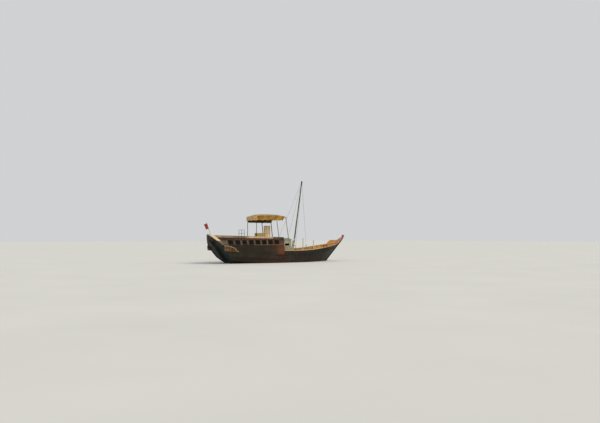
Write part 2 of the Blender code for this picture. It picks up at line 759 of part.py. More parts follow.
def make_decks():
    """Main, fore and poop decks, and the bulkhead across the poop's fore end."""
    deck = across_hull(
        "main_deck", range(0, len(STATIONS) - 1), (HULL_TOP_Z + SEAT, HULL_TOP_Z + DECK),
        PLANK + 2 * CAULK, WEATHERED, end_trim=CAULK)
    half_length = HATCH_LENGTH / 2 - COAMING_THICK
    half_width = HATCH_WIDTH / 2 - COAMING_THICK
    cut(
        deck,
        (HATCH_MIDDLE_X - half_length, -half_width, HULL_TOP_Z - DECK),
        (HATCH_MIDDLE_X + half_length, half_width, HULL_TOP_Z + 2 * DECK),
    )
    across_hull(
        "poop_deck", POOP, (POOP_SIDE_TOP_Z, POOP_SIDE_TOP_Z + POOP_DECK), 0.0, WEATHERED)

    first = FORE_DECK_START
    fore = across_hull(
        "fore_deck", range(first, len(STATIONS) - 1), (FORE_DECK_Z - DECK, FORE_DECK_Z),
        PLANK + 4 * CAULK, WEATHERED, end_trim=CAULK)
    u = STATIONS[first]
    x = place(u, FORE_DECK_Z)[0]
    rows = (HULL_TOP_Z + DECK + SEAT, (HULL_TOP_Z + FORE_DECK_Z) / 2, FORE_DECK_Z - DECK / 2)
    half = [(half_breadth(share_at(x + DECK, z), z) - PLANK - 8 * CAULK, z) for z in rows]
    outline = half + [(-y, z) for y, z in reversed(half)]
    loops = [[(at, y, z) for y, z in outline] for at in (x, x + DECK)]
    combine(fore, loft("riser", loops, WEATHERED), "UNION")

    low, high = HULL_TOP_Z + DECK + SEAT, POOP_SIDE_TOP_Z - SEAT
    x = HOUSE_AFT_X - HOUSE_WALL
    rows = (low, 1.4, 2.0, 2.6, high)
    half = [(half_breadth(share_at(x, z), z) - PLANK - 4 * CAULK, z) for z in rows]
    half_door = PASSAGE_WIDTH / 2
    notch = [(-half_door, low), (-half_door, low + PASSAGE_HEIGHT), (half_door, low + PASSAGE_HEIGHT),
             (half_door, low)]
    outline = half + [(-y, z) for y, z in reversed(half)] + notch
    loops = [[(at, y, z) for y, z in outline] for at in (x - HOUSE_WALL, x)]
    loft("poop_bulkhead", loops, TEAK)


def make_deckhouse():
    """House before the poop: two sides, a front with its door, and a roof."""
    floor = HULL_TOP_Z + DECK + SEAT
    top = POOP_SIDE_TOP_Z - SEAT
    roof_low = POOP_SIDE_TOP_Z
    break_u = STATIONS[POOP_BREAK]
    roof_aft = max(place(break_u, z)[0] for z in (roof_low, roof_low + POOP_DECK)) + BUTT
    aft = HOUSE_AFT_X - HOUSE_WALL + SEAT
    length, height, foot = HOUSE_WINDOW
    middle = (HOUSE_AFT_X + HOUSE_FORE_X) / 2
    for side, tag in ((-1, "stbd"), (1, "port")):
        ys = sorted((side * HOUSE_HALF_WIDTH, side * (HOUSE_HALF_WIDTH - HOUSE_WALL)))
        wall = box(f"deckhouse_side_{tag}", (aft, ys[0], floor), (HOUSE_FORE_X, ys[1], top), GREY)
        cut(wall, (middle - length / 2, ys[0] - 0.1, foot), (middle + length / 2, ys[1] + 0.1, foot + height))
    inside = HOUSE_HALF_WIDTH - HOUSE_WALL - SEAT
    front = box(
        "deckhouse_front", (HOUSE_FORE_X - HOUSE_WALL, -inside, floor), (HOUSE_FORE_X, inside, top), GREY)
    for stop, reach_aft in ((DOOR_STOP, 2 * HOUSE_WALL), (0.0, DOOR_THICK + SEAT)):
        cut(
            front,
            (HOUSE_FORE_X - reach_aft, DOOR_MIDDLE_Y - DOOR_WIDTH / 2 + stop, floor + DOOR_SILL + stop),
            (HOUSE_FORE_X + HOUSE_WALL, DOOR_MIDDLE_Y + DOOR_WIDTH / 2 - stop,
             floor + DOOR_SILL + DOOR_HEIGHT - stop),
        )
    low_y, high_y, low_z, high_z = FRONT_WINDOW
    cut(
        front, (HOUSE_FORE_X - 2 * HOUSE_WALL, low_y, low_z), (HOUSE_FORE_X + HOUSE_WALL, high_y, high_z))
    eaves = HOUSE_HALF_WIDTH + HOUSE_EAVES
    crown_half, crown_foot = HOUSE_CROWN_Y
    edge = roof_low + POOP_DECK
    half = [(eaves, roof_low), (eaves, edge), (crown_foot, edge), (crown_half, edge + HOUSE_CROWN)]
    section = half + [(-y, z) for y, z in reversed(half)]
    ends = (roof_aft, HOUSE_FORE_X + HOUSE_EAVES)
    loft("deckhouse_roof", [[(x, y, z) for y, z in section] for x in ends], GREY)

    door_foot = floor + DOOR_SILL + DOOR_FIT
    hinge_y = DOOR_MIDDLE_Y - DOOR_WIDTH / 2 + DOOR_FIT
    pivot = bpy.data.objects.new("door_axis", None)
    pivot.location = (HOUSE_FORE_X, hinge_y, door_foot)
    bpy.context.scene.collection.objects.link(pivot)
    door = box(
        "deckhouse_door", (-DOOR_THICK, 0.0, 0.0),
        (0.0, DOOR_WIDTH - 2 * DOOR_FIT, DOOR_HEIGHT - 2 * DOOR_FIT), TEAK)
    door.parent = pivot


def make_hatch():
    """Coaming round the hold and its hinged cover."""
    floor = HULL_TOP_Z + DECK + SEAT
    top = floor + COAMING_HEIGHT
    x0, x1 = HATCH_MIDDLE_X - HATCH_LENGTH / 2, HATCH_MIDDLE_X + HATCH_LENGTH / 2
    half = HATCH_WIDTH / 2
    coaming = box("hatch_coaming", (x0, -half, floor), (x1, half, top), VARNISH)
    wall = COAMING_THICK
    cut(coaming, (x0 + wall, -half + wall, floor - 0.1), (x1 - wall, half - wall, top + 0.1))
    pivot = bpy.data.objects.new("hatch_axis", None)
    pivot.location = (HATCH_MIDDLE_X, half + COVER_LIP, top + SEAT)
    bpy.context.scene.collection.objects.link(pivot)
    long_half = HATCH_LENGTH / 2 + COVER_LIP
    cover = box(
        "hatch_cover", (-long_half, -2 * (half + COVER_LIP), 0.0), (long_half, 0.0, COVER_THICK), WEATHERED)
    cover.parent = pivot


# Mast, stays and posts


def mast_x(z):
    """Place of the mast's axis at a height."""
    return MAST_FOOT_X + MAST_RAKE * (z - HULL_TOP_Z - DECK)


def make_mast():
    """Mast, its heel post, the sheave block at its head, and the shrouds."""
    floor = HULL_TOP_Z + DECK + SEAT
    post(
        "mast", (mast_x(floor), 0, floor), (mast_x(MAST_TOP_Z), 0, MAST_TOP_Z),
        MAST_FOOT_RADIUS, MAST_HEAD_RADIUS, SPAR, sides=16)
    length, width, height = BLOCK_SIZE
    low = MAST_TOP_Z + SEAT
    x = mast_x(MAST_TOP_Z)
    lean = MAST_RAKE * height
    foot = [(x - length / 2, -width / 2, low), (x + length / 2, -width / 2, low),
            (x + length / 2, width / 2, low), (x - length / 2, width / 2, low)]
    loft("masthead_block", [foot, [(px + lean, py, low + height) for px, py, _ in foot]], TAR)

    depth, breadth = MAST_POST_SIZE
    loops = []
    for z in (floor, MAST_POST_TOP_Z):
        front = mast_x(z) - MAST_FOOT_RADIUS - SEAT
        loops.append([(front - depth, -breadth / 2, z), (front, -breadth / 2, z),
                      (front, breadth / 2, z), (front - depth, breadth / 2, z)])
    loft("mast_heel_post", loops, GREY)

    top_z = low + STAY_DROP
    top_x = x + MAST_RAKE * STAY_DROP
    for side, tag in ((-1, "stbd"), (1, "port")):
        for number, station in enumerate(SHROUD_STATIONS, start=1):
            u = STATIONS[station]
            rail = sheer_z(u) + SEAT + CAP_HEIGHT
            foot_x, foot_y = skin(u, rail, -PLANK / 2)
            head_x = top_x + (0.04 if number == 2 else -0.04)
            head = (head_x, side * (width / 2 + STAY_RADIUS + SEAT), top_z)
            post(
                f"shroud_{tag}_{number}", (foot_x, side * foot_y, rail + 0.001), head,
                STAY_RADIUS, STAY_RADIUS, ROPE, sides=8)


def make_deck_posts():
    """Two tall posts on the waist deck, and the mooring bitts on the fore deck."""
    floor = HULL_TOP_Z + DECK + SEAT
    for tag, x, top in DECK_POSTS:
        post(f"deck_post_{tag}", (x, 0, floor), (x, 0, top), DECK_POST_RADIUS, DECK_POST_RADIUS, GREY)
    low = FORE_DECK_Z + SEAT
    half = BITT_SIZE / 2
    bitts = box(
        "bow_bitts", (BITT_X - half, -BITT_SPREAD - half, low),
        (BITT_X + half, -BITT_SPREAD + half, low + BITT_HEIGHT), VARNISH)
    other = box(
        "bitt", (BITT_X - half, BITT_SPREAD - half, low), (BITT_X + half, BITT_SPREAD + half, low + BITT_HEIGHT),
        VARNISH)
    combine(bitts, other, "UNION")
    bar_z = low + BITT_HEIGHT * 0.6
    bar = box(
        "bar", (BITT_X - half * 0.6, -BITT_SPREAD - 0.28, bar_z), (BITT_X + half * 0.6, BITT_SPREAD + 0.28, bar_z + 0.09),
        VARNISH)
    combine(bitts, bar, "UNION")


# Awning


def canvas_loop(x, eaves, crown, inset, hem, rake):
    """Section of the awning at one station, raked aft below its eaves."""
    half = AWNING_HALF_SPAN + CANVAS_OVERHANG - inset
    eaves -= inset
    crown -= inset
    flat = 0.06
    shape = [(-half, hem), (-half, eaves), (-flat, crown), (flat, crown), (half, eaves), (half, hem)]
    points = []
    for y, z in shape:
        points.append((x - rake * max(0.0, CANVAS_STATIONS[-1][1] - z), y, z))
    return points


def make_awning():
    """Six posts, the pole frame and the canvas with its flaps."""
    deck = POOP_SIDE_TOP_Z + POOP_DECK + SEAT
    head_z = SIDE_POLE_Z - SEAT
    for side, tag in ((-1, "stbd"), (1, "port")):
        for where, foot_x, head_x, radius in AWNING_POSTS:
            post(
                f"awning_post_{where}_{tag}", (foot_x, side * AWNING_HALF_SPAN, deck),
                (head_x, side * AWNING_HALF_SPAN, head_z), radius, radius * 0.85, OLIVE, sides=10)

    aft, fore = CANVAS_STATIONS[0][0] + POLE, AWNING_POSTS[-1][2] + 0.12
    half = POLE / 2
    frame = box(
        "awning_frame", (aft, -AWNING_HALF_SPAN - half, SIDE_POLE_Z),
        (fore, -AWNING_HALF_SPAN + half, SIDE_POLE_Z + POLE), OLIVE)
    other = box(
        "pole", (aft, AWNING_HALF_SPAN - half, SIDE_POLE_Z), (fore, AWNING_HALF_SPAN + half, SIDE_POLE_Z + POLE), OLIVE)
    combine(frame, other, "UNION")
    for _, _, x, _ in AWNING_POSTS:
        bar = box(
            "bar", (x - half, -AWNING_HALF_SPAN - 0.06, SIDE_POLE_Z + 0.01),
            (x + half, AWNING_HALF_SPAN + 0.06, SIDE_POLE_Z + POLE - 0.01), OLIVE)
        combine(frame, bar, "UNION")
        strut = box(
            "strut", (x - half * 0.8, -half * 0.8, SIDE_POLE_Z + 0.02),
            (x + half * 0.8, half * 0.8, crown_at(x) - CANVAS_THICK - POLE / 2), OLIVE)
        combine(frame, strut, "UNION")
    loops = []
    for at in [aft] + [row[0] for row in CANVAS_STATIONS[1:]] + [fore]:
        top = crown_at(at) - CANVAS_THICK - SEAT
        loops.append([(at, -half, top - POLE), (at, half, top - POLE), (at, half, top), (at, -half, top)])
    combine(frame, loft("ridge", loops, OLIVE), "UNION")

    rakes = [0.0] * (len(CANVAS_STATIONS) - 1) + [CANVAS_FORE_RAKE]
    outer = []
    for (x, eaves, crown), rake in zip(CANVAS_STATIONS, rakes):
        outer.append(canvas_loop(x, eaves, crown, 0.0, CANVAS_HEM_Z, rake))
    canvas = loft("awning_canvas", outer, CANVAS)
    inner = []
    for i, rake in enumerate(rakes):
        inner.append(canvas_loop(*inside_station(i), CANVAS_THICK, CANVAS_HEM_Z - 0.2, rake))
    combine(canvas, loft("inside", inner, CANVAS), "DIFFERENCE")


def inside_station(i):
    """Place, eaves and crown of the canvas's inside, run on past its open fore end."""
    x, eaves, crown = CANVAS_STATIONS[i]
    if 0 < i < len(CANVAS_STATIONS) - 1:
        return x, eaves, crown
    step = CANVAS_THICK if i == 0 else 2 * POLE
    near = CANVAS_STATIONS[1 if i == 0 else i - 1]
    share = step / (x - near[0])
    return x + step, eaves + share * (eaves - near[1]), crown + share * (crown - near[2])


def crown_at(x):
    """Crown height of the canvas, straight between its stations."""
    for (x0, _, c0), (x1, _, c1) in zip(CANVAS_STATIONS, CANVAS_STATIONS[1:]):
        if x <= x1:
            return c0 + (c1 - c0) * (x - x0) / (x1 - x0)
    return CANVAS_STATIONS[-1][2]


def make_poop_furniture():
    """Locker with its hinged lid, upright screen, and the ensign on its staff."""
    deck = POOP_SIDE_TOP_Z + POOP_DECK + SEAT
    (x0, y0), (x1, y1) = LOCKER
    top = deck + LOCKER_HEIGHT
    locker = box("locker", (x0, y0, deck), (x1, y1, top), OLIVE)
    wall = LOCKER_WALL
    cut(locker, (x0 + wall, y0 + wall, deck + wall), (x1 - wall, y1 - wall, top + 0.1))
    pivot = bpy.data.objects.new("locker_axis", None)
    pivot.location = ((x0 + x1) / 2, y1 + LOCKER_LIP, top + SEAT)
    bpy.context.scene.collection.objects.link(pivot)
    half = (x1 - x0) / 2 + LOCKER_LIP
    lid = box("locker_lid", (-half, y0 - y1 - 2 * LOCKER_LIP, 0.0), (half, 0.0, LOCKER_LID), OLIVE)
    lid.parent = pivot

    box(
        "awning_screen", (SCREEN_X[0], SCREEN_Y, deck), (SCREEN_X[1], SCREEN_Y + SCREEN_THICK, SCREEN_TOP_Z),
        CREAM)

    u = STAFF_SHARE
    low = rail_z(u) + 3 * SEAT
    x, y = skin(u, rail_z(u), -RAIL_PLANK / 2)
    top_x = x - STAFF_LEAN * (STAFF_TOP_Z - low)
    post("ensign_staff", (x, y, low), (top_x, y, STAFF_TOP_Z), STAFF_RADIUS, STAFF_RADIUS, SPAR, sides=8)
    width, height = FLAG_SIZE
    loops = []
    for z in (STAFF_TOP_Z - 0.06 - height, STAFF_TOP_Z - 0.06):
        edge = x - STAFF_LEAN * (z - low) - STAFF_RADIUS - SEAT
        loops.append([(edge, y - FLAG_THICK / 2, z), (edge, y + FLAG_THICK / 2, z),
                      (edge - width, y + FLAG_THICK / 2, z), (edge - width, y - FLAG_THICK / 2, z)])
    loft("ensign", loops, BUNTING)


# Rudder


def make_rudder():
    """Rudder blade with its pins in notches, and the yoke across its head."""
    lead = AXIS_D - BLADE_LEAD
    head = stern_w(RUDDER_HEAD_Z, lead)
    front = [(stern_w(RUDDER_FOOT_Z, lead), lead)]
    for w in GUDGEON_PLACES:
        near, far = w - GUDGEON_HALF - EYE_SLACK, w + GUDGEON_HALF + SEAT
        back = AXIS_D + EYE_RADIUS + 0.02
        front += [(near, lead), (near, back), (far, back), (far, lead)]
    front.append((head, lead))
    heel = AXIS_D + RUDDER_CHORDS[0][1]
    rear = [(stern_w(RUDDER_FOOT_Z, heel), heel)]
    rear += [(w, AXIS_D + chord) for w, chord in RUDDER_CHORDS[1:]]
    back = AXIS_D + RUDDER_CHORDS[-1][1]
    rear.append((stern_w(RUDDER_HEAD_Z, back), back))
    outline = [stern_point(w, d) for w, d in front + list(reversed(rear))]
    blade = profile("rudder_blade", [(x, z) for x, _, z in outline], BLADE_HALF, TAR)
    axis = stern_point(0.0, AXIS_D)
    radius = EYE_HOLE * math.cos(math.pi / 12) - PIN_FIT
    for w in GUDGEON_PLACES:
        reach = GUDGEON_HALF + 0.08
        pin = rod("pin", stern_point(w - reach, AXIS_D), stern_point(w + reach, AXIS_D), radius, TAR)
        combine(blade, pin, "UNION")

    pivot = bpy.data.objects.new("rudder_axis", None)
    pivot.location = axis
    bpy.context.scene.collection.objects.link(pivot)
    depth, height = YOKE_SECTION
    low = RUDDER_HEAD_Z + SEAT
    middle_x = stern_point(stern_w(RUDDER_HEAD_Z, AXIS_D), AXIS_D)[0]
    loops = []
    for y, half in ((-YOKE_HALF_LENGTH, 0.6), (-0.08, 1.0), (0.08, 1.0), (YOKE_HALF_LENGTH, 0.6)):
        near, far = middle_x - depth / 2 * half, middle_x + depth / 2 * half
        loops.append([(near, y, low), (far, y, low), (far, y, low + height * half), (near, y, low + height * half)])
    yoke = loft("rudder_yoke", loops, TAR)
    for piece in (blade, yoke):
        piece.parent = pivot
        piece.matrix_parent_inverse.identity()
        for vertex in piece.data.vertices:
            vertex.co -= Vector(axis)


def main():
    """Build the ship from keel to awning."""
    for old in list(bpy.data.objects):
        bpy.data.objects.remove(old)
    make_hull_body()
    make_keel_and_posts()
    for side, tag in ((-1, "stbd"), (1, "port")):
        make_sides(side, tag)
    make_decks()
    make_deckhouse()
    make_hatch()
    make_mast()
    make_deck_posts()
    make_awning()
    make_poop_furniture()
    make_rudder()


main()
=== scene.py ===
"""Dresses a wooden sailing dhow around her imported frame: planking, windows, decks, spars, canvas and fittings.

Metres, +X to the bow, +Y to port, +Z up, with the water's surface at z = 0.
"""

import bisect
import logging
import math
import random
from dataclasses import dataclass, field
from enum import Enum
from functools import partial
from typing import Callable, Optional, Sequence, Union

import bmesh
import bpy
from mathutils import Matrix, Vector


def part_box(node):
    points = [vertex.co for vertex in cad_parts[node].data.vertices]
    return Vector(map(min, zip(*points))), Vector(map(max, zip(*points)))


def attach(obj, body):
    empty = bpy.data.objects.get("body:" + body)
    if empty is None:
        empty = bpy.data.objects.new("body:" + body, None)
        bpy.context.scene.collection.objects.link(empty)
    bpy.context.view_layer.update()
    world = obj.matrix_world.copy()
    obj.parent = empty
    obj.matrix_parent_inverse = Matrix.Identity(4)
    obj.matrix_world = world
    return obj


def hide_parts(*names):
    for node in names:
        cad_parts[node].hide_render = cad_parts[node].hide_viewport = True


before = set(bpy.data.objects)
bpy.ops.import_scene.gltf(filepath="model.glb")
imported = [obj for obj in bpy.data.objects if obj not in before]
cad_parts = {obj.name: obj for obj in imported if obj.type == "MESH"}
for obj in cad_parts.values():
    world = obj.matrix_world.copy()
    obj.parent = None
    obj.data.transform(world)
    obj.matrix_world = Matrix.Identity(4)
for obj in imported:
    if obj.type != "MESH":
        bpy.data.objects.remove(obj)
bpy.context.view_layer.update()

logging.basicConfig(level=logging.INFO, format="%(message)s")
LOG = logging.getLogger("dhow")

Place = Sequence[float]
Pair = tuple[float, float]
Loop = Sequence[Place]
Line = Callable[[float], float]
Section = Callable[[float], Sequence[Pair]]      # (offset, height) points at a share of the length
Node = bpy.types.Node
Source = Union[Node, bpy.types.NodeSocket, bpy.types.Material, float, tuple]
Adder = Callable[..., Node]
Knot = bmesh.types.BMVert

SIDES = ((-1, "stbd"), (1, "port"))
X, Y, Z = (1, 0, 0), (0, 1, 0), (0, 0, 1)

# Heights and thicknesses of the frame that the dressing is fitted to
HULL_FOOT_Z = -1.50
DECK_TOP_Z = 0.92
FORE_DECK_Z = 1.78
POOP_DECK_Z = 3.19
POOP_SIDE_TOP_Z = 3.11
SILL_Z = 2.44
SILL_HALF = 0.045
WALE_HALF = 0.07
PLANK = 0.09
CAP_HEIGHT = 0.07
RAIL_PLANK = 0.07
CREST_Z = 3.85
SEAT = 0.0003
BREAK_SHARE = 0.445      # share of the length at the poop's fore end
STEM_SHARE = 0.9995      # share of the length where planks meet the stem
SKIN_LENGTH = 17.8       # metres along the skin that a share of 1 stands for
AFT_X = -11.0            # the finishes' colour ramps start here
RAMP_LENGTH = 23.5


def linear(code: str) -> tuple[float, float, float, float]:
    """Turn an sRGB hex colour, #rrggbb, into linear RGBA with an alpha of 1."""
    channels = [int(code[i:i + 2], 16) / 255 for i in (1, 3, 5)]
    red, green, blue = (c / 12.92 if c <= 0.04045 else ((c + 0.055) / 1.055) ** 2.4 for c in channels)
    return red, green, blue, 1.0


def steps(low: float, high: float, count: int) -> list[float]:
    """Even steps from one number to another, both of them included."""
    return [low + (high - low) * k / count for k in range(count + 1)]


def feed(node: Node, inputs: dict[Union[str, int], Source]) -> None:
    """Set or link a node's inputs.

    Args:
        node: The node.
        inputs: A value, a socket, or a node (its first live output) for each input, by name or index.
    """
    for key, value in inputs.items():
        if isinstance(value, Node):
            value = next(socket for socket in value.outputs if socket.enabled)
        if isinstance(value, bpy.types.NodeSocket):
            node.id_data.links.new(value, node.inputs[key])
        else:
            node.inputs[key].default_value = value


def add_node(
    tree: bpy.types.NodeTree, kind: str, inputs: Optional[dict[Union[str, int], Source]] = None, **settings
) -> Node:
    """Add a node, set it and link it.

    Args:
        tree: The node tree it goes into.
        kind: The node's type.
        inputs: What its inputs take, as for feed.
        **settings: The node's own properties; stops fills a colour ramp with (position, linear colour).

    Returns:
        The new node.
    """
    node = tree.nodes.new(kind)
    stops = settings.pop("stops", ())
    for name, value in settings.items():
        setattr(node, name, value)
    if stops:
        marks = node.color_ramp.elements
        while len(marks) < len(stops):
            marks.new(0.5)
        for mark, (position, colour) in zip(marks, stops):
            mark.position = position
            mark.color = colour
    feed(node, inputs or {})
    return node


def tint(add: Adder, mask: Source, levels: Pair, colour: Source, over: str, most: float = 1.0) -> Node:
    """Lay a colour over another where a mask passes from one level to another.

    Args:
        add: Adds a node to the material.
        mask: The mask.
        levels: Where the new colour starts to show, and where it shows most.
        colour: The colour so far.
        over: The colour laid over it.
        most: Its greatest share.

    Returns:
        The node that gives the mixed colour.
    """
    low, high = levels
    share = add("ShaderNodeMapRange", {"Value": mask, "From Min": low, "From Max": high, "To Max": most})
    return add("ShaderNodeMix", {0: share, 6: colour, 7: linear(over)}, data_type="RGBA")


# Finishes


class Grain(Enum):
    """Stretch of the wood's grain along each axis, the long way of the timber."""

    ALONG = (0.05, 1.0, 1.0)
    ATHWART = (1.0, 0.05, 1.0)
    UPRIGHT = (1.0, 1.0, 0.05)


@dataclass(frozen=True)
class Band:
    """A tint between two heights, with a ragged edge."""

    low: float
    high: float
    colour: str
    strength: float
    fade: float = 0.08


@dataclass(frozen=True)
class Finish:
    """What all finishes share: a name, and a material that is built once."""

    name: str

    def material(self) -> bpy.types.Material:
        """Build the material once and return it."""
        made = bpy.data.materials.get(self.name)
        if made is None:
            made = bpy.data.materials.new(self.name)
            made.use_nodes = True
            add = partial(add_node, made.node_tree)
            feed(made.node_tree.nodes["Principled BSDF"], self.look(add, add("ShaderNodeTexCoord")))
        return made

    def look(self, add: Adder, places: Node) -> dict[str, Source]:
        """Add the finish's nodes.

        Args:
            add: Adds a node to the material.
            places: The node that gives the coordinates.

        Returns:
            What the shader's inputs take.
        """
        raise NotImplementedError(self.name)


@dataclass(frozen=True)
class Timber(Finish):
    """Sawn timber, oiled, tarred, varnished, painted or bare; the grain shows as fine long streaks."""

    stops: tuple[tuple[float, str], ...]       # colour along the ship, by place
    pores: str                                 # colour in the grain
    grain: Grain = Grain.ALONG
    grain_mm: float = 22.0
    contrast: float = 0.45
    bleach: str = "#8a7d68"
    bleach_share: float = 0.25
    tone_share: float = 0.22
    streak_share: float = 0.30
    roughness: float = 0.6
    bump_mm: float = 1.2
    chips: str = ""
    chip_share: float = 0.0
    chip_mm: float = 36.0
    coat: float = 0.0
    shine: float = 0.2
    bands: tuple[Band, ...] = ()

    def look(self, add: Adder, places: Node) -> dict[str, Source]:
        """Grain, sun-bleached patches and rain streaks over the timber's colour, then its chips and bands."""
        where = places.outputs["Object"]
        xyz = add("ShaderNodeSeparateXYZ", {"Vector": where})
        scale = tuple(1000.0 / self.grain_mm * share for share in self.grain.value)
        sawn = add("ShaderNodeMapping", {"Vector": where, "Scale": scale})
        fibres = add(
            "ShaderNodeTexNoise",
            {"Vector": sawn, "Scale": 1.0, "Detail": 6.0, "Roughness": 0.62, "Distortion": 0.5})
        broad = add("ShaderNodeTexNoise", {"Vector": where, "Scale": 1.3, "Detail": 5.0, "Roughness": 0.6})
        runs = add("ShaderNodeMapping", {"Vector": where, "Scale": (7.0, 7.0, 0.55)})
        streaks = add("ShaderNodeTexNoise", {"Vector": runs, "Scale": 1.0, "Detail": 4.0, "Roughness": 0.7})
        colour = self.along_ship(add, xyz)
        for mask, levels, over, most in (
            (fibres, (0.36, 0.66), self.pores, self.contrast),
            (broad, (0.45, 0.72), self.bleach, self.bleach_share),
            (streaks, (0.5, 0.78), self.pores, self.streak_share),
        ):
            colour = tint(add, mask, levels, colour, over, most)
        tone = add("ShaderNodeAttribute", attribute_name="tone").outputs["Fac"]
        value = add(
            "ShaderNodeMapRange", {"Value": tone, "To Min": 1 - self.tone_share, "To Max": 1 + self.tone_share})
        colour = add("ShaderNodeHueSaturation", {"Value": value, "Color": colour})
        height = fibres
        if self.chips:
            flakes = add(
                "ShaderNodeTexNoise",
                {"Vector": where, "Scale": 1000.0 / self.chip_mm, "Detail": 8.0, "Roughness": 0.7})
            start = 0.70 - 0.22 * self.chip_share
            colour = tint(add, flakes, (start, start + 0.03), colour, self.chips)
            bare = add("ShaderNodeMapRange", {"Value": flakes, "From Min": start, "From Max": start + 0.03})
            height = add("ShaderNodeMath", {0: bare, 1: -0.5, 2: fibres}, operation="MULTIPLY_ADD")
        for band in self.bands:
            colour = self.banded(add, xyz, broad, band, colour)
        gloss = add(
            "ShaderNodeMapRange", {"Value": broad, "From Min": 0.3, "From Max": 0.7,
                                   "To Min": self.roughness - 0.08, "To Max": self.roughness + 0.14})
        bump = add("ShaderNodeBump", {"Height": height, "Strength": 0.7, "Distance": self.bump_mm / 1000})
        return {
            "Base Color": colour, "Roughness": gloss, "Normal": bump, "Specular IOR Level": self.shine,
            "Coat Weight": self.coat, "Coat Roughness": 0.25}

    def along_ship(self, add: Adder, xyz: Node) -> Source:
        """Colour by place along the ship, or the one colour that it has."""
        if len(self.stops) == 1:
            return linear(self.stops[0][1])
        share = add("ShaderNodeMapRange", {"Value": xyz, "From Min": AFT_X, "From Max": AFT_X + RAMP_LENGTH})
        stops = [((x - AFT_X) / RAMP_LENGTH, linear(code)) for x, code in self.stops]
        return add("ShaderNodeValToRGB", {"Fac": share}, stops=stops)

    def banded(self, add: Adder, xyz: Node, ragged: Node, band: Band, colour: Source) -> Node:
        """Tint between two heights.

        Args:
            add: Adds a node to the material.
            xyz: The node that gives the height.
            ragged: Noise that breaks the edges.
            band: The tint.
            colour: The colour so far.

        Returns:
            The node that gives the tinted colour.
        """
        low, high, fade = band.low, band.high, band.fade
        rough = add("ShaderNodeMath", {0: ragged, 1: 2 * fade, 2: xyz.outputs[2]}, operation="MULTIPLY_ADD")
        rise = add("ShaderNodeMapRange", {"Value": rough, "From Min": low, "From Max": low + fade})
        fall = add("ShaderNodeMapRange", {
            "Value": rough, "From Min": high, "From Max": high + fade, "To Min": band.strength, "To Max": 0.0})
        both = add("ShaderNodeMath", {0: rise, 1: fall}, operation="MULTIPLY")
        return tint(add, both, (0.0, 1.0), colour, band.colour)


@dataclass(frozen=True)
class Cloth(Finish):
    """Woven cotton, read from its own UV map in metres; the thread is drawn coarse enough to show."""

    colour: str
    stain: str
    thread_mm: float = 14.0                    # the real thread is about 1 mm
    bleach: str = "#d2a966"
    roughness: float = 0.9
    patch: str = ""                            # a darker tarpaulin over the top
    patch_from: float = 0.0
    patch_to: float = 0.0
    patch_above: float = 0.0
    faded_to: float = -99.0                    # sun-bleached aft of this place

    def look(self, add: Adder, places: Node) -> dict[str, Source]:
        """Stains, faded folds and the weave over the dyed colour."""
        where = places.outputs["Object"]
        xyz = add("ShaderNodeSeparateXYZ", {"Vector": where})
        threads = [
            add("ShaderNodeTexWave",
                {"Vector": places.outputs["UV"], "Scale": 1000.0 / self.thread_mm / 6.28, "Distortion": 0.3},
                bands_direction=direction).outputs[1] for direction in ("X", "Y")]
        weave = add("ShaderNodeMath", {0: threads[0], 1: threads[1]}, operation="MULTIPLY")
        blotch = add("ShaderNodeTexNoise", {"Vector": where, "Scale": 1.6, "Detail": 6.0, "Roughness": 0.65})
        colour = tint(add, blotch, (0.49, 0.62), linear(self.colour), self.stain, 0.8)
        colour = tint(add, blotch, (0.5, 0.3), colour, self.bleach, 0.6)
        if self.patch:
            colour = tint(add, self.cover(add, xyz, blotch), (0.0, 1.0), colour, self.patch)
        if self.faded_to > -99.0:
            colour = tint(add, xyz, (self.faded_to, self.faded_to - 0.1), colour, "#ecc48c", 0.6)
        shade = add("ShaderNodeMapRange", {"Value": weave, "To Min": 0.82, "To Max": 1.08})
        colour = add("ShaderNodeHueSaturation", {"Value": shade, "Color": colour})
        creases = add("ShaderNodeTexNoise", {"Vector": where, "Scale": 7.0, "Detail": 3.0, "Roughness": 0.5})
        relief = add("ShaderNodeMath", {0: creases, 1: 3.0, 2: weave}, operation="MULTIPLY_ADD")
        bump = add("ShaderNodeBump", {"Height": relief, "Strength": 0.6, "Distance": 0.003})
        return {
            "Base Color": colour, "Normal": bump, "Roughness": self.roughness, "Specular IOR Level": 0.2,
            "Sheen Weight": 0.15}

    def cover(self, add: Adder, xyz: Node, ragged: Node) -> Node:
        """Mask of the darker cover over the top's fore half, with a ragged edge."""
        along = add("ShaderNodeMath", {0: ragged, 1: 0.5, 2: xyz.outputs[0]}, operation="MULTIPLY_ADD")
        up = add("ShaderNodeMath", {0: ragged, 1: 0.12, 2: xyz.outputs[2]}, operation="MULTIPLY_ADD")
        mask: Source = 1.0
        for value, start, end, first, last in (
            (along, self.patch_from, self.patch_from + 0.08, 0.0, 1.0),
            (along, self.patch_to, self.patch_to + 0.08, 1.0, 0.0),
            (up, self.patch_above, self.patch_above + 0.02, 0.0, 0.85),
        ):
            share = add("ShaderNodeMapRange", {
                "Value": value, "From Min": start, "From Max": end, "To Min": first, "To Max": last})
            mask = add("ShaderNodeMath", {0: mask, 1: share}, operation="MULTIPLY")
        return mask


